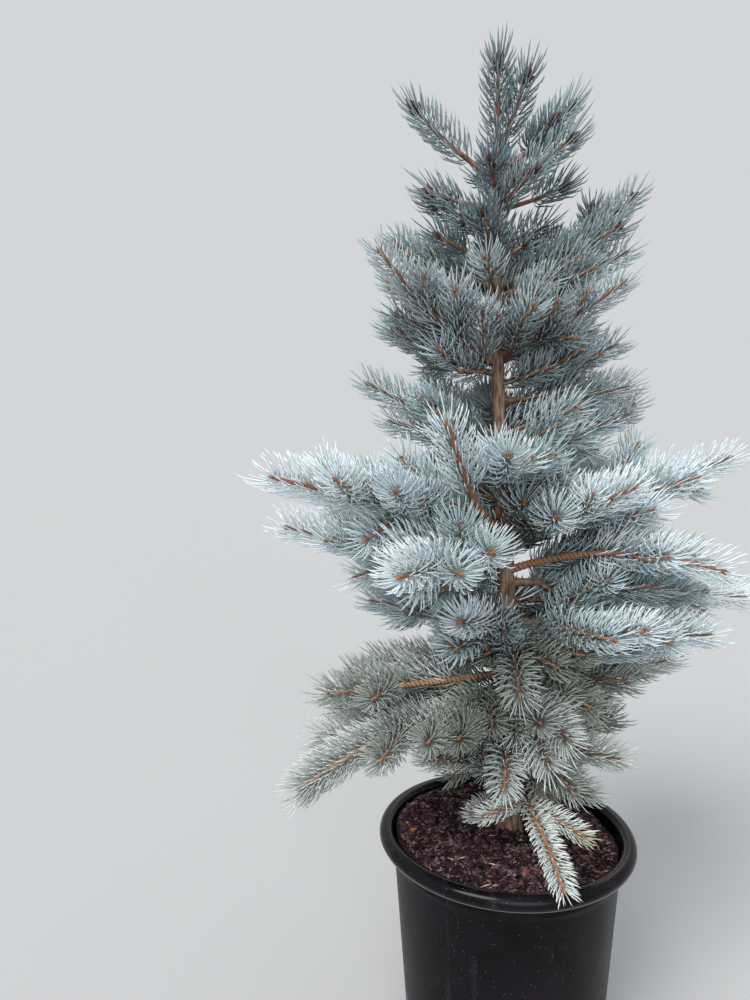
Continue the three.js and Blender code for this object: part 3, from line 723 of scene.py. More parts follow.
loose = chance(seeds[which] * 5 + 2, serial)
other = chance(seeds[which] * 7 + 3, serial)
upper = np.clip(radial[:, 2], -1.0, 1.0)
of_top = top_share[which]
closing_length = np.minimum(CLOSING_SHARE * lengths[which], LONGEST_CLOSING)
near_tip = np.clip(1.0 - (1.0 - t) * lengths[which] / closing_length, 0.0, 1.0)
closing = (CLOSING + CLOSING_AT_TOP * of_top) * near_tip ** 1.5
lean = np.radians(LEAN + LEAN_ABOVE * upper + LEAN_CHANCE * (loose - 0.5)) * (1.0 - closing)
first_way = unit(ahead * np.cos(lean)[:, None] + radial * np.sin(lean)[:, None])
curl = UP * (CURL + (CURL_BELOW + CURL_AT_TOP * of_top) * (1.0 - upper))[:, None]
bend = ahead * (0.24 + 0.22 * other)[:, None] + curl
second_way = unit(first_way + bend)
third_way = unit(second_way + bend * 1.25)
vigour = 0.66 + 0.34 * np.minimum(1.0, lengths[which] / 95.0)
full_length = np.interp(centre[:, 2], NEEDLE_HEIGHTS, NEEDLE_LENGTHS)
reach = full_length * vigour * (0.84 + 0.24 * other) * (1.0 - 0.22 * near_tip * (loose > 0.5))
reach = reach * (0.72 + 0.28 * np.clip(t / 0.12, 0.0, 1.0)) * (1.0 + 0.30 * of_top * near_tip)
root = centre + radial * (shoot_radius(which, t) * 0.75)[:, None]
low_joint = root + first_way * (reach * STRETCHES[0])[:, None]
high_joint = low_joint + second_way * (reach * STRETCHES[1])[:, None]
tip = high_joint + third_way * (reach * STRETCHES[2])[:, None]
in_box = ((tip > LOW - PAST_THE_BOX) & (tip < HIGH + PAST_THE_BOX)).all(axis=-1)
tip_out = np.linalg.norm(tip[:, :2], axis=-1)
in_wall = (tip[:, 2] < POT_HEIGHT + 1.0) & (tip_out < RIM_RADIUS + 1.0)
in_wall &= (tip_out > SHOULDER_RADIUS - POT_WALL - 4.0) | (tip[:, 2] < COMPOST_LEVEL - 2.0)
fits = np.flatnonzero(in_box & ~in_wall)
print(len(fits), "needles fit in the box and clear of the pot")

# %% Mesh of the needles
NEEDLE_WIDTHS = (1.60, 2.10, 2.20, 2.25, 2.25, 2.20, 2.40)


def needle_mesh(chosen):
    """Each needle starts at a point in the wood, has two triangles for rings, and ends in a point."""
    across = unit(np.cross(first_way[chosen], ahead[chosen]))
    over = np.cross(across, second_way[chosen])
    half = 0.5 * np.interp(centre[chosen, 2], NEEDLE_HEIGHTS, NEEDLE_WIDTHS)[:, None]
    parts = [root[chosen]]
    for joint, share in ((low_joint, 1.0), (high_joint, 0.88)):
        for degrees in (90.0, 210.0, 330.0):
            angle = math.radians(degrees)
            parts.append(joint[chosen] + (across * math.cos(angle) + over * math.sin(angle)) * half * share)
    points = np.stack([*parts, tip[chosen]], axis=1)
    first_point = (np.arange(len(points)) * points.shape[1])[:, None, None]
    quads = np.array([[1, 4, 5, 2], [2, 5, 6, 3], [3, 6, 4, 1]])
    triangles = np.array([[0, 1, 2], [0, 2, 3], [0, 3, 1], [7, 5, 4], [7, 6, 5], [7, 4, 6]])
    face_sets = [(quads + first_point).reshape(-1, 4), (triangles + first_point).reshape(-1, 3)]
    return points.reshape(-1, 3), face_sets


print("one needle has", len(needle_mesh(fits[:1])[0]), "points")

# %% [markdown]
# ## Colours dealt out by spray
#
# The blue comes from a pale wax on the needles. It is thickest at the outside of the crown. Inside it wears
# off, and the needles are darker; there painted shade of the crown's depth darkens them further. The top of
# this plant is painted a deeper, darker blue as the shade of a top lit from behind, the lowest boughs take a
# warmer grey-green as painted light thrown up from the ground, and one twig ends in fresh green. So each
# shoot
# takes one plain colour: first by its zone, which chance blurs, and then by its rank in the zone, from the
# inside to the outside, which is partly the wax and partly painted shade. Each colour is one piece, and none
# grows too large for the export. An image could hold all the colours, but plain ones stay exact.

# %% Zones of the crown
TOP_FROM = 1140.0
UPPER_FROM = 900.0
LOW_UNTIL = 572.0
ZONE_BLUR = 80.0
INNER_SHARE = 0.30
FRESH_FROM = 0.97

ends = curves[:, 2]
spread = np.linalg.norm(ends[:, :2] - trunk_centre(np.minimum(ends[:, 2], TRUNK_TOP))[:, :2], axis=-1)
share_out = spread / np.interp(ends[:, 2], CROWN_HEIGHTS, CROWN_REACHES)
blurred_height = ends[:, 2] + ZONE_BLUR * (chance(seeds, 12) - 0.5)
zone = np.full(len(shoots), "middle")
zone[blurred_height > UPPER_FROM] = "upper"
zone[blurred_height > TOP_FROM] = "top"
zone[blurred_height < LOW_UNTIL] = "low"
zone[(share_out < INNER_SHARE) & (blurred_height <= TOP_FROM)] = "inner"
zone[on_hem] = "hem"
needle_zone = zone[which]
right_twig = on_hem & (levels == 1) & (curves[:, 2, 0] > curves[:, 0, 0])
needle_zone[right_twig[which] & (t + 0.20 * chance(seeds[which], serial) > FRESH_FROM)] = "fresh"
# Rank from the inside of the crown outwards: partly the wax, partly painted shade, so the inner shoots of
# each zone take its darker colours.
brightness = share_out + 0.85 * chance(seeds, 11)
zone_names, zone_sizes = np.unique(needle_zone, return_counts=True)
print("needles in each zone:", dict(zip(zone_names.tolist(), zone_sizes.tolist())))

# %% Deal the colours
# Plain colours by zone, with painted light in them: the top and upper zones are darker as painted shade of a
# top lit from behind, the low zone is warmer as painted light from the ground, and the inner zone is darkest
# as painted shade deep in the crown, beside the older needles' own duller colour.
NEEDLE_COLOURS_WITH_PAINTED_LIGHT = {
    "inner": [("needles_inner_painted_shade", (0.140, 0.170, 0.158))],
    "top": [("needles_top_dark", (0.135, 0.190, 0.210)), ("needles_top_blue", (0.240, 0.308, 0.330))],
    "upper": [("needles_upper_dark", (0.250, 0.308, 0.325)), ("needles_upper_blue", (0.385, 0.458, 0.480))],
    "middle": [("needles_blue", (0.345, 0.438, 0.462)), ("needles_pale", (0.535, 0.635, 0.672)),
               ("needles_silver", (0.675, 0.760, 0.795))],
    "low": [("needles_green", (0.238, 0.265, 0.228)), ("needles_low_grey", (0.355, 0.392, 0.368)),
            ("needles_low_pale", (0.525, 0.570, 0.552))],
    "hem": [("needles_hem", (0.670, 0.722, 0.696))],
    "fresh": [("needles_fresh", (0.430, 0.470, 0.300))],
}
NEEDLE_ROUGHNESS = 0.42


def plain_material(name, colour, roughness, specular=0.4):
    """One Principled shader with a plain base colour."""
    material = bpy.data.materials.new(name)
    material.use_nodes = True
    shader = material.node_tree.nodes["Principled BSDF"]
    shader.inputs["Base Color"].default_value = (*colour, 1.0)
    shader.inputs["Roughness"].default_value = roughness
    shader.inputs["Specular IOR Level"].default_value = specular
    return material


masses = [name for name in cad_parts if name.endswith("_foliage")]
for zone_name, colours in NEEDLE_COLOURS_WITH_PAINTED_LIGHT.items():
    members = fits[needle_zone[fits] == zone_name]
    order = members[np.argsort(brightness[which[members]], kind="stable")]
    for (name, colour), chosen in zip(colours, np.array_split(order, len(colours))):
        piece = put_mesh(name, *needle_mesh(chosen))
        piece.data.materials.append(plain_material(name, colour, NEEDLE_ROUGHNESS))
        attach(piece, "root")
        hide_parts(*masses)

# %% [markdown]
# ## Shader nodes and groups
#
# Wood, compost and plastic need the same effects: a mottle that shifts a colour between two tones, and on
# twigs the small pegs that tilt the light. Each is a node group, made once, and placed in each material with
# its own values. A group gives out only colours, masks and heights. The shader itself stays in the material,
# so the export can read it.

# %% Node helpers
def fill(tree, node, values):
    """Sets the inputs of a node: a socket is linked, and anything else becomes the input's own value."""
    for label, value in values.items():
        if isinstance(value, bpy.types.NodeSocket):
            tree.links.new(value, node.inputs[label])
        else:
            node.inputs[label].default_value = value
    return node


def add_node(tree, kind, values):
    """A new shader node with its inputs set."""
    return fill(tree, tree.nodes.new("ShaderNode" + kind), values)


def map_range(tree, value, from_low, from_high, to_low=0.0, to_high=1.0):
    """Carries one range of values onto another, held at its ends."""
    values = {"Value": value, "From Min": from_low, "From Max": from_high}
    return add_node(tree, "MapRange", {**values, "To Min": to_low, "To Max": to_high}).outputs["Result"]


def combine(tree, operation, first, second=0.0):
    """One Math node on two inputs, each a socket or a number."""
    node = tree.nodes.new("ShaderNodeMath")
    node.operation = operation
    return fill(tree, node, {0: first, 1: second}).outputs["Value"]


def lay_over(tree, mask, under, over):
    """Lays one colour over another where the mask is high."""
    node = tree.nodes.new("ShaderNodeMix")
    node.data_type = "RGBA"
    return fill(tree, node, {"Factor": mask, "A": under, "B": over}).outputs["Result"]


def add_bump(tree, shader, height, strength, distance):
    """Feeds a height to the shader's normal."""
    bump = add_node(tree, "Bump", {"Strength": strength, "Distance": distance, "Height": height})
    tree.links.new(bump.outputs["Normal"], shader.inputs["Normal"])


print("helpers for nodes:", [helper.__name__ for helper in (map_range, combine, lay_over, add_bump)])

# %% Materials and node groups
def place_group(tree, group, values):
    """Puts a group in a material, with its own values for the sockets named."""
    node = tree.nodes.new("ShaderNodeGroup")
    node.node_tree = group
    return fill(tree, node, values)


def start_material(name, roughness):
    """A material, with its node tree, its shader and its coordinates at hand."""
    material = bpy.data.materials.new(name)
    material.use_nodes = True
    tree = material.node_tree
    shader = fill(tree, tree.nodes["Principled BSDF"], {"Roughness": roughness})
    where = tree.nodes.new("ShaderNodeTexCoord")
    return material, tree, shader, where.outputs


def new_group(name, inputs, outputs):
    """An empty node group, the sockets that enter it and the node that they leave by."""
    group = bpy.data.node_groups.new(name, "ShaderNodeTree")
    for in_out, sockets in (("INPUT", inputs), ("OUTPUT", outputs)):
        for label, kind in sockets.items():
            group.interface.new_socket(name=label, in_out=in_out, socket_type="NodeSocket" + kind)
    return group, group.nodes.new("NodeGroupInput").outputs, group.nodes.new("NodeGroupOutput")


print("materials before the wood:", len(bpy.data.materials))

# %% Mottle and pegs
def mottle_group():
    """Noise at one scale, stretched in contrast, mixes a dark colour into a light one."""
    inputs = {"Vector": "Vector", "Scale": "Float", "Light": "Color", "Dark": "Color"}
    group, enter, leave = new_group("mottle", inputs, {"Color": "Color", "Mask": "Float"})
    texture = add_node(group, "TexNoise", {"Vector": enter["Vector"], "Scale": enter["Scale"], "Detail": 4.0})
    mask = map_range(group, texture.outputs["Fac"], 0.36, 0.64)
    fill(group, leave, {"Color": lay_over(group, mask, enter["Dark"], enter["Light"]), "Mask": mask})
    return group


def peg_group():
    """Cells stretched along the shoot, like the pegs that needles leave on the wood: high in the middle of
    each cell and low between."""
    group, enter, leave = new_group("pegs", {"Vector": "Vector", "Along": "Float"}, {"Height": "Float"})
    scale = add_node(group, "CombineXYZ", {"X": 1.0, "Y": enter["Along"], "Z": 1.0})
    stretched = group.nodes.new("ShaderNodeVectorMath")
    stretched.operation = "MULTIPLY"
    fill(group, stretched, {0: enter["Vector"], 1: scale.outputs["Vector"]})
    cells = add_node(group, "TexVoronoi", {"Vector": stretched.outputs["Vector"], "Scale": 1.0,
                                           "Randomness": 0.45})
    fill(group, leave, {"Height": combine(group, "SUBTRACT", 1.0, cells.outputs["Distance"])})
    return group


MOTTLE = mottle_group()
PEGS = peg_group()


def mottled(tree, vector, scale, light, dark):
    """The outputs of a mottle between two plain colours."""
    values = {"Vector": vector, "Scale": scale, "Light": (*light, 1.0), "Dark": (*dark, 1.0)}
    return place_group(tree, MOTTLE, values).outputs


print("groups made:", MOTTLE.name, PEGS.name)

# %% [markdown]
# ## The wood of the shoots
#
# Shoots of the last year are orange-brown, darker at the top of the plant, and older wood is dull brown. The
# tubes carry a UV map that runs along and round each shoot, so that the pegs of its bump follow it. Young,
# topmost and old wood are three pieces with three finishes.

# %% Twigs and old boughs
def wood_along(chosen, rings):
    """Points and radii along the chosen shoots, from root to tip."""
    places = np.linspace(0.0, 1.0, rings)[None]
    return on_curve(curves[chosen][:, None], places), shoot_radius(chosen[:, None], places)


def twig_material(name, light, dark, pegs_per_metre, strength):
    """Mottled wood with pegs."""
    material, tree, shader, where = start_material(name, 0.7)
    fill(tree, shader, {"Base Color": mottled(tree, where["Object"], 90.0, light, dark)["Color"]})
    pegs = place_group(tree, PEGS, {"Vector": where["UV"], "Along": pegs_per_metre})
    add_bump(tree, shader, pegs.outputs["Height"], strength, 0.0012)
    return material


young = (levels > 0) | single | (families == LEADER) | (families == RIVAL)
at_top = top_share > 0.5
has_limb = stout & np.isin(families, [BOUGH_NAMES.index(name) for name in LIMBS])
old = stout & ~has_limb & ~leaders
YOUNG_LIGHT, YOUNG_DARK = (0.430, 0.205, 0.105), (0.230, 0.100, 0.050)
TOP_LIGHT, TOP_DARK = (0.250, 0.112, 0.070), (0.120, 0.050, 0.035)
OLD_LIGHT, OLD_DARK = (0.250, 0.135, 0.078), (0.085, 0.047, 0.032)
for name, chosen, rings, sides, finish in (
        ("young_twigs", young & ~at_top, 5, 6, (YOUNG_LIGHT, YOUNG_DARK, 260.0, 0.9)),
        ("top_twigs", young & at_top, 5, 6, (TOP_LIGHT, TOP_DARK, 260.0, 0.9)),
        ("old_boughs", old, 24, 10, (OLD_LIGHT, OLD_DARK, 230.0, 1.0))):
    piece = put_mesh(name, *tubes(*wood_along(np.flatnonzero(chosen), rings), sides))
    piece.data.materials.append(twig_material(name, *finish))
    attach(piece, "root")
    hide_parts(*masses)

# %% [markdown]
# ## The bare limbs
#
# Where a limb has lost its needles, the pegs that they stood on are left, and they turn the wood into rope.
# Here a bump would look flat, so the ridges are real: waves that climb round the limb, which a second wave
# bends and a slower one breaks up. They fade out where the needles begin. Each point keeps its ridge height
# as an attribute, and the material paints shade into the grooves with it. The higher limbs are a darker
# red-brown.

# %% Bare limbs
LIMB_RINGS = 240
LIMB_SIDES = 16
RIDGES_ROUND = 2.0
RIDGE_SHARE = 0.16
RIDGE_FADE = 0.12
LIMB_LIGHT = (0.520, 0.300, 0.170)
LIMB_SHADED = (0.290, 0.168, 0.095)
LIMB_REDDISH = (0.230, 0.098, 0.055)
# Painted shade for the grooves between the ridges.
LIMB_GROOVE_SHADE = (0.110, 0.058, 0.036)
REDDISH_FROM, REDDISH_TO = 0.60, 0.74
GROOVE_FROM, GROOVE_TO, GROOVE_PAINTED_SHADE = 0.15, -0.55, 0.85

limbs = np.flatnonzero(has_limb)
path, radius = wood_along(limbs, LIMB_RINGS)
angle = angles_round(LIMB_SIDES)[None, None, :]
share = np.linspace(0.0, 1.0, LIMB_RINGS)[None, :, None]
run = share * lengths[limbs][:, None, None]
wander = 0.9 * np.sin(0.13 * run + angle)
uneven = 0.65 + 0.35 * np.cos(angle - 0.31 * run)
ridges = np.cos(RIDGES_ROUND * angle + 1.0 * run + wander) * uneven
old_share = np.clip(1.0 - (share - bare_until[limbs][:, None, None]) / RIDGE_FADE, 0.0, 1.0)
relief = ridges * old_share * RIDGE_SHARE * radius[..., None]
limb_wood = put_mesh("limb_wood", *tubes(path, radius, LIMB_SIDES, relief))
ridges = ridges * old_share + 1.0 - old_share
with_poles = np.concatenate([ridges.reshape(len(limbs), -1), np.zeros((len(limbs), 2))], axis=1)
ridge_layer = limb_wood.data.attributes.new("ridge", "FLOAT", "POINT")
ridge_layer.data.foreach_set("value", with_poles.astype(np.float32).ravel())

material, tree, shader, where = start_material("limb", 0.75)
colour = mottled(tree, where["Object"], 40.0, LIMB_LIGHT, LIMB_SHADED)["Color"]
height = add_node(tree, "SeparateXYZ", {"Vector": where["Object"]}).outputs["Z"]
colour = lay_over(tree, map_range(tree, height, REDDISH_FROM, REDDISH_TO), colour, (*LIMB_REDDISH, 1.0))
# Painted shade: the grooves take the dark colour, more of it the lower the ridge.
ridge = tree.nodes.new("ShaderNodeAttribute")
ridge.attribute_name = "ridge"
groove = map_range(tree, ridge.outputs["Fac"], GROOVE_FROM, GROOVE_TO, 0.0, GROOVE_PAINTED_SHADE)
fill(tree, shader, {"Base Color": lay_over(tree, groove, colour, (*LIMB_GROOVE_SHADE, 1.0))})
limb_wood.data.materials.append(material)
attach(limb_wood, "root")
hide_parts(*[name + "_limb" for name in LIMBS])

# %% [markdown]
# ## Buds
#
# Each shoot ends in a fat bud, rust-coloured low on the plant and dark at its top. Strong shoots carry two or
# three more round it, and the leader and its rival five. A bud is a short tube of three rings: narrow at the
# root, widest near the middle, and pointed.

# %% Buds
BUD_LENGTH = 9.0
BUD_RADIUS = 2.9
BUD_SIDES = 5
SIDE_BUDS = 5
BUD_STATIONS = np.array([0.0, 0.4, 1.0])
BUD_SHAPE = np.array([0.6, 1.0, 0.15])
LEADER_BUD = 1.65

bud_shoot, bud_order = [], []
for order in range(SIDE_BUDS + 1):
    wanted = (order == 0) | ((order < 3) & (lengths > 85.0)) | ((order < 4) & (top_share > 0.3)) | leaders
    chosen = np.flatnonzero((families != STEM) & wanted)
    bud_shoot.append(chosen)
    bud_order.append(np.full(len(chosen), order))
bud_shoot = np.concatenate(bud_shoot)
bud_order = np.concatenate(bud_order)
is_side = bud_order > 0
of_top = top_share[bud_shoot]
bud_tip = curves[bud_shoot, 2]
bud_ahead = unit(bud_tip - curves[bud_shoot, 1])
beside_tip, above_tip = square_to(bud_ahead)
bud_turn = seeds[bud_shoot] * 0.7 + bud_order * 2.4
side_way = beside_tip * np.cos(bud_turn)[:, None] + above_tip * np.sin(bud_turn)[:, None]
bud_way = unit(bud_ahead + side_way * np.where(is_side, 0.95, 0.0)[:, None])
bud_size = np.where(is_side, 0.85, 1.0) * (0.8 + 0.4 * chance(bud_shoot, 17))
low_share = np.clip((700.0 - bud_tip[:, 2]) / 250.0, 0.0, 1.0)
bud_size = bud_size * np.where(leaders[bud_shoot], LEADER_BUD, 1.0 + 0.72 * of_top - 0.42 * low_share)
setback = 0.8 + 2.6 * bud_order * (0.4 + 0.6 * of_top)
bud_root = bud_tip - bud_ahead * setback[:, None]
bud_reach = (BUD_STATIONS * BUD_LENGTH)[None] * bud_size[:, None]
bud_path = bud_root[:, None] + bud_way[:, None] * bud_reach[..., None]
bud_radii = BUD_RADIUS * BUD_SHAPE[None] * bud_size[:, None]
for name, chosen, colour in (("buds_dark", of_top > 0.3, (0.090, 0.035, 0.024)),
                             ("buds_rust", of_top <= 0.3, (0.290, 0.125, 0.062))):
    points, face_sets, _ = tubes(bud_path[chosen], bud_radii[chosen], BUD_SIDES)
    buds = put_mesh(name, points, face_sets)
    buds.data.materials.append(plain_material(name, colour, 0.6))
    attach(buds, "root")
    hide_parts(*masses)

# %% [markdown]
# ## The trunk
#
# The bark of a young trunk is grey-brown, with thin scales low down and the ridges of old needle pegs higher
# up. A texture alone would leave its outline smooth, so the scales are real relief: noise stretched along
# the trunk moves the surface out and in by about a millimetre. The mottle of its colour is drawn out along
# the trunk too, like the cracks between the scales.

# %% Trunk bark
TRUNK_ROWS = 620
TRUNK_COLUMNS = 72
PEGS_FROM, PEGS_OVER = 560.0, 350.0
BARK_LIGHT, BARK_DARK = (0.275, 0.172, 0.115), (0.070, 0.042, 0.030)

height, angle = np.broadcast_arrays(np.linspace(TRUNK_FOOT, TRUNK_TOP, TRUNK_ROWS)[:, None],
                                    angles_round(TRUNK_COLUMNS)[None])
arc = round_axis(14.0, angle, height * 0.42)
scales = 1.1 * np.clip(np.abs(noise(arc, 5.0, 41)) * 2.2, 0.0, 1.0) + 0.5 * noise(arc, 2.2, 42) - 0.8
pegs = np.cos(angle * 9.0 + height * 0.75) * np.cos(height * 0.9) * 0.9
young_share = np.clip((height - PEGS_FROM) / PEGS_OVER, 0.0, 1.0)
trunk_out = trunk_radius(height, angle) + 1.35 * scales * (1.0 - 0.45 * young_share) + pegs * young_share
body = trunk_centre(height) + round_axis(trunk_out, angle, 0.0)
points = np.concatenate([body.reshape(-1, 3), trunk_centre([TRUNK_FOOT, TRUNK_TOP])])
trunk = put_mesh("trunk_bark", points, ring_faces(TRUNK_ROWS, TRUNK_COLUMNS))

material, tree, shader, where = start_material("bark", 0.85)
drawn_out = add_node(tree, "Mapping", {"Vector": where["Object"], "Scale": (1.0, 1.0, 0.24)})
tone = mottled(tree, drawn_out.outputs["Vector"], 190.0, BARK_LIGHT, BARK_DARK)
fill(tree, shader, {"Base Color": tone["Color"]})
add_bump(tree, shader, tone["Mask"], 0.5, 0.001)
trunk.data.materials.append(material)
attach(trunk, "root")
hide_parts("trunk")

# %% [markdown]
# ## The pot
#
# A nursery pot is blown from thin black plastic: a slightly tapered wall, a step near the base where pots
# stack, and a rolled rim. It is one closed profile turned round the upright axis. The profile follows the CAD
# sizes, with finer steps round the roll, a shallow raised band below it and a thin lip on its underside.

# %% Pot shape
POT_COLUMNS = 160
BAND_OUT = 1.1
LIP_START, LIP_END, LIP_OUT = -62.0, -50.0, 0.9
ROLL_CENTRE = RIM_RADIUS - ROLL_RADIUS
ROLL_LEVEL = POT_HEIGHT - ROLL_RADIUS
UNDER_ROLL = ROLL_LEVEL - ROLL_RADIUS


def wall_radius(height):
    """The outside of the wall: it widens evenly from base to shoulder."""
    return BASE_RADIUS + (SHOULDER_RADIUS - BASE_RADIUS) * height / POT_HEIGHT


def on_wall(level, out=0.0):
    """A point of the profile that far out from the wall."""
    return (wall_radius(level) + out, level)


step_radius = wall_radius(BASE_LIP_HEIGHT)
outer = [(0.0, 0.0), (BASE_RADIUS - BASE_LIP - 2.0, 0.0), (BASE_RADIUS - BASE_LIP, 1.5)]
outer += [(step_radius - BASE_LIP, BASE_LIP_HEIGHT - 1.0), (step_radius - 0.8, BASE_LIP_HEIGHT + 1.2)]
outer += [(step_radius, BASE_LIP_HEIGHT + 3.5)]
outer += [on_wall(level) for level in np.linspace(30.0, 252.0, 24)]
outer += [on_wall(258.0), (wall_radius(260.0) + BAND_OUT, 260.5), (wall_radius(263.0) + BAND_OUT, 263.5)]
outer += [(wall_radius(265.0), 265.5), on_wall(272.0), on_wall(UNDER_ROLL)]
for degrees in np.arange(-90.0, 181.0, 6.0):
    turn = math.radians(degrees)
    roll = ROLL_RADIUS + (LIP_OUT if LIP_START <= degrees <= LIP_END else 0.0)
    outer.append((ROLL_CENTRE + roll * math.cos(turn), ROLL_LEVEL + roll * math.sin(turn)))
outer += [on_wall(UNDER_ROLL, -POT_WALL), on_wall(250.0, -POT_WALL)]
outer += [(wall_radius(POT_FLOOR) - BASE_LIP - POT_WALL, POT_FLOOR), (0.0, POT_FLOOR)]
profile = np.array(outer)

body = round_axis(profile[1:-1, :1], angles_round(POT_COLUMNS), profile[1:-1, 1:])
poles = [[0.0, 0.0, profile[0, 1]], [0.0, 0.0, profile[-1, 1]]]
points = np.concatenate([body.reshape(-1, 3), poles])
pot = put_mesh("pot_shell", points, ring_faces(len(body), POT_COLUMNS))

# %% [markdown]
# ## Black plastic
#
# Black plastic is never quite black: it is a dark grey with a soft sheen, dulled by dust. The base colour
# and the roughness follow the same mottle, fine pale specks of splashed grit lie on it, and rubbed streaks
# run down the wall. A pale line marks the lip under the roll. The wall is duller than the rim, which hands
# keep shiny, but the top of the rim gathers a little dust.

# %% Pot material
POT_LIGHT, POT_DARK = (0.0062, 0.0046, 0.0074), (0.0018, 0.0016, 0.0022)
SPECK_COLOUR = (0.15, 0.13, 0.12, 1.0)
STREAK_COLOUR = (0.075, 0.070, 0.075, 1.0)
LINE_COLOUR = (0.20, 0.19, 0.19, 1.0)
DUST_COLOUR = (0.040, 0.031, 0.029, 1.0)

material, tree, shader, where = start_material("pot_plastic", 0.4)
tone = mottled(tree, where["Object"], 11.0, POT_LIGHT, POT_DARK)
axes = add_node(tree, "SeparateXYZ", {"Vector": where["Object"]}).outputs

specks = add_node(tree, "TexVoronoi", {"Vector": where["Object"], "Scale": 150.0})
speck_mask = map_range(tree, specks.outputs["Distance"], 0.07, 0.12, 0.55, 0.0)
colour = lay_over(tree, speck_mask, tone["Color"], SPECK_COLOUR)

stretch = add_node(tree, "Mapping", {"Vector": where["Object"], "Scale": (60.0, 60.0, 5.0)})
streaks = add_node(tree, "TexNoise", {"Vector": stretch.outputs["Vector"], "Scale": 1.0, "Detail": 3.0})
streak_mask = map_range(tree, streaks.outputs["Fac"], 0.60, 0.78, 0.0, 0.20)
colour = lay_over(tree, streak_mask, colour, STREAK_COLOUR)

squares = [combine(tree, "MULTIPLY", axes[label], axes[label]) for label in ("X", "Y")]
from_axis = combine(tree, "SQRT", combine(tree, "ADD", *squares))
below = map_range(tree, axes["Z"], 0.2790, 0.2797)
over = map_range(tree, axes["Z"], 0.2812, 0.2819, 0.70, 0.0)
outside = map_range(tree, from_axis, 0.168, 0.170)
line = combine(tree, "MULTIPLY", combine(tree, "MULTIPLY", below, over), outside)
colour = lay_over(tree, line, colour, LINE_COLOUR)

rim_dust = combine(tree, "MULTIPLY", map_range(tree, axes["Z"], 0.288, 0.300, 0.0, 0.06), tone["Mask"])
colour = lay_over(tree, rim_dust, colour, DUST_COLOUR)
dull_wall = map_range(tree, axes["Z"], 0.272, 0.280, 0.20, 0.0)
rough = combine(tree, "ADD", map_range(tree, tone["Mask"], 0.0, 1.0, 0.14, 0.24), dull_wall)
fill(tree, shader, {"Base Color": colour, "Roughness": rough, "Specular IOR Level": 0.13})
add_bump(tree, shader, streaks.outputs["Fac"], 0.12, 0.001)
pot.data.materials.append(material)
print("the pot's material has", len(tree.nodes), "nodes")
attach(pot, "root")
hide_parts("pot")

# %% [markdown]
# ## The compost
#
# Compost is a crumbly mound: it stands highest round the trunk and on the left, and sinks at the wall. The
# surface is a function of radius and angle, with noise at four sizes on top. The noise as wide as a clod is
# cut off above and below, so that the ground is either clod or hollow.

# %% Compost mound
HEAPED_MIDDLE, HEAPED_ROUND, HEAPED_LEFT = 18.0, 9.0, 14.0
MOUND_ROWS = 170
MOUND_COLUMNS = 460
SKIRT_LEVEL = 220.0


def inside_radius(height):
    """The inside of the wall, less a hair's breadth."""
    low = wall_radius(POT_FLOOR) - BASE_LIP - POT_WALL
    high = wall_radius(UNDER_ROLL) - POT_WALL
    return low + (high - low) * (height - POT_FLOOR) / (UNDER_ROLL - POT_FLOOR) - 0.3


COMPOST_EDGE = inside_radius(COMPOST_EDGE_LEVEL)


def clods_at(x, y):
    """Noise as wide as a clod, stretched and cut off, so that most of the ground is either clod or hollow."""
    return np.clip(noise(np.stack([x, y, 0.0 * x], axis=-1), 15.0, 52) * 2.4, -0.8, 1.0)


def compost_height(x, y):
    """Eased fall from the middle to the wall, plus the heaps, plus noise with large lumps, clods, small and
    fine lumps, all of it calmer close to the wall."""
    radius = np.hypot(x, y)
    share = np.clip((radius - COMPOST_PAD_RADIUS) / (COMPOST_EDGE - COMPOST_PAD_RADIUS), 0.0, 1.0)
    fall = (COMPOST_LEVEL - COMPOST_EDGE_LEVEL) * share ** 1.5
    flat = np.stack([x, y, 0.0 * x], axis=-1)
    lumps = (5.0 * noise(flat, 46.0, 51) + 4.6 * clods_at(x, y)
             + 4.2 * noise(flat, 6.5, 53) + 2.8 * noise(flat, 3.0, 54))
    calm = np.clip((COMPOST_EDGE - radius) / 12.0, 0.35, 1.0)
    heaped = HEAPED_LEFT * np.clip(0.45 - 0.55 * x / COMPOST_EDGE, 0.0, 1.0) * share
    heaped = heaped + HEAPED_MIDDLE + (HEAPED_ROUND - HEAPED_MIDDLE) * share
    return COMPOST_LEVEL + 1.0 - fall + heaped + lumps * calm


ring_out = (np.linspace(0.012, 1.0, MOUND_ROWS) * COMPOST_EDGE)[:, None]
angle = angles_round(MOUND_COLUMNS)
top = round_axis(ring_out, angle, compost_height(ring_out * np.cos(angle), ring_out * np.sin(angle)))
skirt = round_axis(inside_radius(SKIRT_LEVEL), angle, SKIRT_LEVEL)
poles = [[0.0, 0.0, compost_height(np.zeros(1), np.zeros(1))[0]], [0.0, 0.0, SKIRT_LEVEL]]
points = np.concatenate([top.reshape(-1, 3), skirt, poles])
mound = put_mesh("compost_mound", points, ring_faces(MOUND_ROWS + 1, MOUND_COLUMNS, True))

# %% [markdown]
# ## Loose bits on the compost
#
# What makes compost look rough is the litter on it: pale and dark crumbs, clods, reddish chips of bark, a few
# straws and golden flecks. All are one small closed shape of eight triangles, pushed, stretched and turned by
# chance, and a bit in a hollow is often left out, so that the near-black mound shows there as painted shade
# in the hollows. The few bits that stand out in the photograph have their own places. Particles could scatter
# them, but the export keeps only meshes.

# %% Scatter bits
BIT = np.array([[1, 0, 0], [0, 1, 0], [-1, 0, 0], [0, -1, 0], [0, 0, 1], [0, 0, -1]], dtype=float)
BIT_FACES = np.array([[0, 1, 4], [1, 2, 4], [2, 3, 4], [3, 0, 4], [1, 0, 5], [2, 1, 5], [3, 2, 5], [0, 3, 5]])
CLEAR_OF_TRUNK = 22.0


def swing(first, second, angle):
    """Turns two coordinates by an angle: the second towards the first."""
    return (first * np.cos(angle) + second * np.sin(angle), second * np.cos(angle) - first * np.sin(angle))


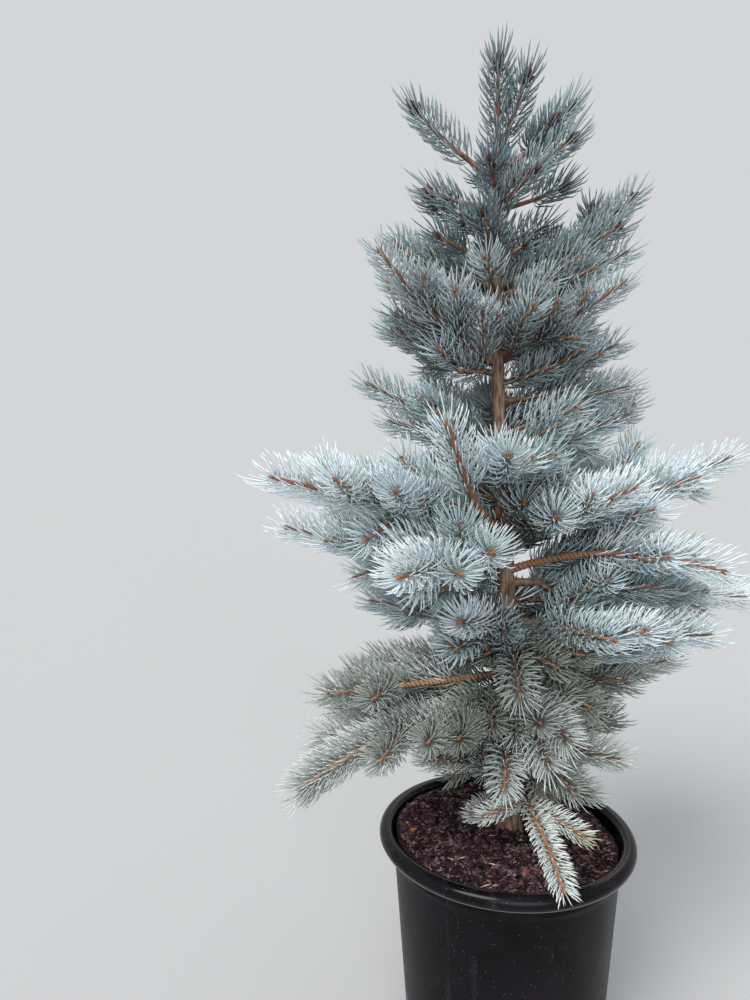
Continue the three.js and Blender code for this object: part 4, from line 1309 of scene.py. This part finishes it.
def scatter(name, count, seed, size, flatness, stretch, lift=0.0, places=None, on_clods=0.0):
    """Closed eight-sided bits. Each corner is pushed by chance, the bit is stretched, tilted and turned about
    the upright axis, and laid on the mound, at the places given or anywhere. A share on_clods of those in the
    hollows is left out."""
    serial = np.arange(count)
    radius = COMPOST_EDGE * 0.965 * np.sqrt(chance(seed, serial))
    turn = 2.0 * np.pi * chance(seed + 1, serial)
    x, y = radius * np.cos(turn), radius * np.sin(turn)
    if places is not None:
        x, y = np.array(places, dtype=float).T
    wanted = np.hypot(x - 4.0, y) >= CLEAR_OF_TRUNK
    wanted &= (clods_at(x, y) > -0.1) | (chance(seed + 6, serial) >= on_clods)
    x, y, serial = x[wanted], y[wanted], serial[wanted]
    push = 0.65 + 0.7 * chance(seed + 2 + serial[:, None] * 6, np.arange(6)[None])
    scale = size * (0.45 + 1.1 * chance(seed + 3, serial) ** 2.0)
    spin = 2.0 * np.pi * chance(seed + 4, serial)[:, None]
    tilt = 0.9 * (chance(seed + 5, serial) - 0.5)[:, None]
    shape = BIT[None] * push[..., None] * scale[:, None, None] * np.array([stretch, 1.0, flatness])
    along, across, upward = np.moveaxis(shape, -1, 0)
    along, upward = swing(along, upward, tilt)
    across, along = swing(across, along, spin)
    place = np.stack([x, y, compost_height(x, y) + scale * flatness * 0.35 + lift], axis=-1)
    points = np.stack([along, across, upward], axis=-1) + place[:, None]
    faces = BIT_FACES[None] + (np.arange(len(serial)) * len(BIT))[:, None, None]
    return put_mesh(name, points.reshape(-1, 3), [faces.reshape(-1, 3)], smooth=False)


print("a bit has", len(BIT_FACES), "triangles")

# %% Compost and its bits
def earth_material(name, light, dark, scale):
    """Mottled, matt and grainy."""
    material, tree, shader, where = start_material(name, 0.95)
    tone = mottled(tree, where["Object"], scale, light, dark)
    fill(tree, shader, {"Base Color": tone["Color"], "Specular IOR Level": 0.12})
    add_bump(tree, shader, tone["Mask"], 0.6, 0.0015)
    return material


ORANGE_CHIPS = [(-138, -20)]
GOLDEN_BITS = [(15, -40), (84, 104), (104, 92), (62, 88), (-20, 126)]
BITS = {
    # on_clods leaves pale crumbs and clods out of the hollows, so that the mound's painted shade shows there.
    "crumbs": dict(count=9500, seed=61, size=1.7, flatness=0.90, stretch=1.6, on_clods=0.85),
    "dark_crumbs": dict(count=3600, seed=63, size=2.6, flatness=0.85, stretch=1.3),
    "clods": dict(count=700, seed=65, size=4.6, flatness=0.85, stretch=1.1, on_clods=0.5),
    "chips": dict(count=400, seed=71, size=3.4, flatness=0.35, stretch=2.1),
    "straws": dict(count=170, seed=77, size=1.0, flatness=0.9, stretch=8.0, lift=1.6),
    "flecks": dict(count=60, seed=81, size=2.3, flatness=0.45, stretch=1.5, lift=1.0),
    "orange_chips": dict(
        count=1, seed=85, size=11.0, flatness=0.6, stretch=1.1, lift=4.0, places=ORANGE_CHIPS
    ),
    "golden_bits": dict(
        count=5, seed=88, size=4.2, flatness=0.6, stretch=1.2, lift=2.0, places=GOLDEN_BITS
    ),
}
FINISHES = {
    # The mound is the compost's own dark colour, made near black as painted shade for the hollows between
    # clods.
    "mound": ("compost_dark", (0.040, 0.022, 0.027), (0.004, 0.002, 0.003), 260.0),
    "crumbs": ("compost_crumb", (0.225, 0.138, 0.152), (0.050, 0.027, 0.033), 90.0),
    "dark_crumbs": ("compost_dark_crumb", (0.052, 0.028, 0.036), (0.008, 0.004, 0.005), 90.0),
    "clods": ("compost_clod", (0.100, 0.057, 0.070), (0.012, 0.006, 0.008), 240.0),
    "chips": ("bark_chip", (0.190, 0.082, 0.066), (0.050, 0.022, 0.019), 60.0),
    "orange_chips": ("orange_chip", (0.420, 0.170, 0.080), (0.120, 0.050, 0.032), 110.0),
    "golden_bits": ("golden_bit", (0.620, 0.380, 0.100), (0.420, 0.220, 0.070), 60.0),
    "straws": ("straw", (0.520, 0.420, 0.320), (0.200, 0.140, 0.105), 40.0),
    "flecks": ("golden_fleck", (0.520, 0.270, 0.080), (0.270, 0.120, 0.050), 40.0),
}
compost = {"mound": mound}
for name, settings in BITS.items():
    compost[name] = scatter("compost_" + name, **settings)
for name, finish in FINISHES.items():
    compost[name].data.materials.append(earth_material(*finish))
    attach(compost[name], "root")
    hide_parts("compost")

# %% [markdown]
# ## Floor and light
#
# A plain pale floor and soft light show the plant and nothing else. Area lamps near the plant would leave a
# bright pool on the floor. Three distant lamps with wide discs give soft shadows and light the whole floor
# evenly: a key from the upper left, a weaker one from the viewer's side that reaches into the crown, and one
# from behind that picks out the edges of the needles. Their sum is set so that the floor is as bright as the
# pale world behind it, and the floor reflects nothing, so its far edge doesn't show.

# %% Floor and lamps
FLOOR_HALF = 150.0
floor_points = np.array([[-1, -1, 0], [1, -1, 0], [1, 1, 0], [-1, 1, 0]], dtype=float) * FLOOR_HALF / MM
floor = put_mesh("floor", floor_points, [np.array([[0, 1, 2, 3]])], smooth=False)
floor.data.materials.append(plain_material("floor_pale", (0.416, 0.423, 0.433), 0.95, 0.0))


def distant_lamp(name, azimuth, elevation, disc, strength, colour):
    """A lamp infinitely far away, at an azimuth and elevation in degrees, whose disc is that many degrees
    wide."""
    data = bpy.data.lights.new(name, "SUN")
    data.angle = math.radians(disc)
    data.energy = strength
    data.color = colour
    lamp = bpy.data.objects.new(name, data)
    lamp.rotation_euler = (math.radians(90.0 - elevation), 0.0, math.radians(azimuth + 90.0))
    bpy.context.scene.collection.objects.link(lamp)


distant_lamp("key", 232.0, 46.0, 30.0, 3.0, (1.0, 0.985, 0.96))
distant_lamp("viewer_side", 275.0, 18.0, 40.0, 1.3, (0.97, 0.99, 1.0))
distant_lamp("behind", 70.0, 48.0, 40.0, 0.45, (1.0, 1.0, 1.0))
bpy.context.scene.view_settings.view_transform = "Standard"
world = bpy.data.worlds.new("studio")
world.use_nodes = True
background = world.node_tree.nodes["Background"]
background.inputs["Color"].default_value = (0.86, 0.88, 0.90, 1.0)
background.inputs["Strength"].default_value = 0.76
bpy.context.scene.world = world
print("lamps:", [lamp.name for lamp in bpy.data.lights])
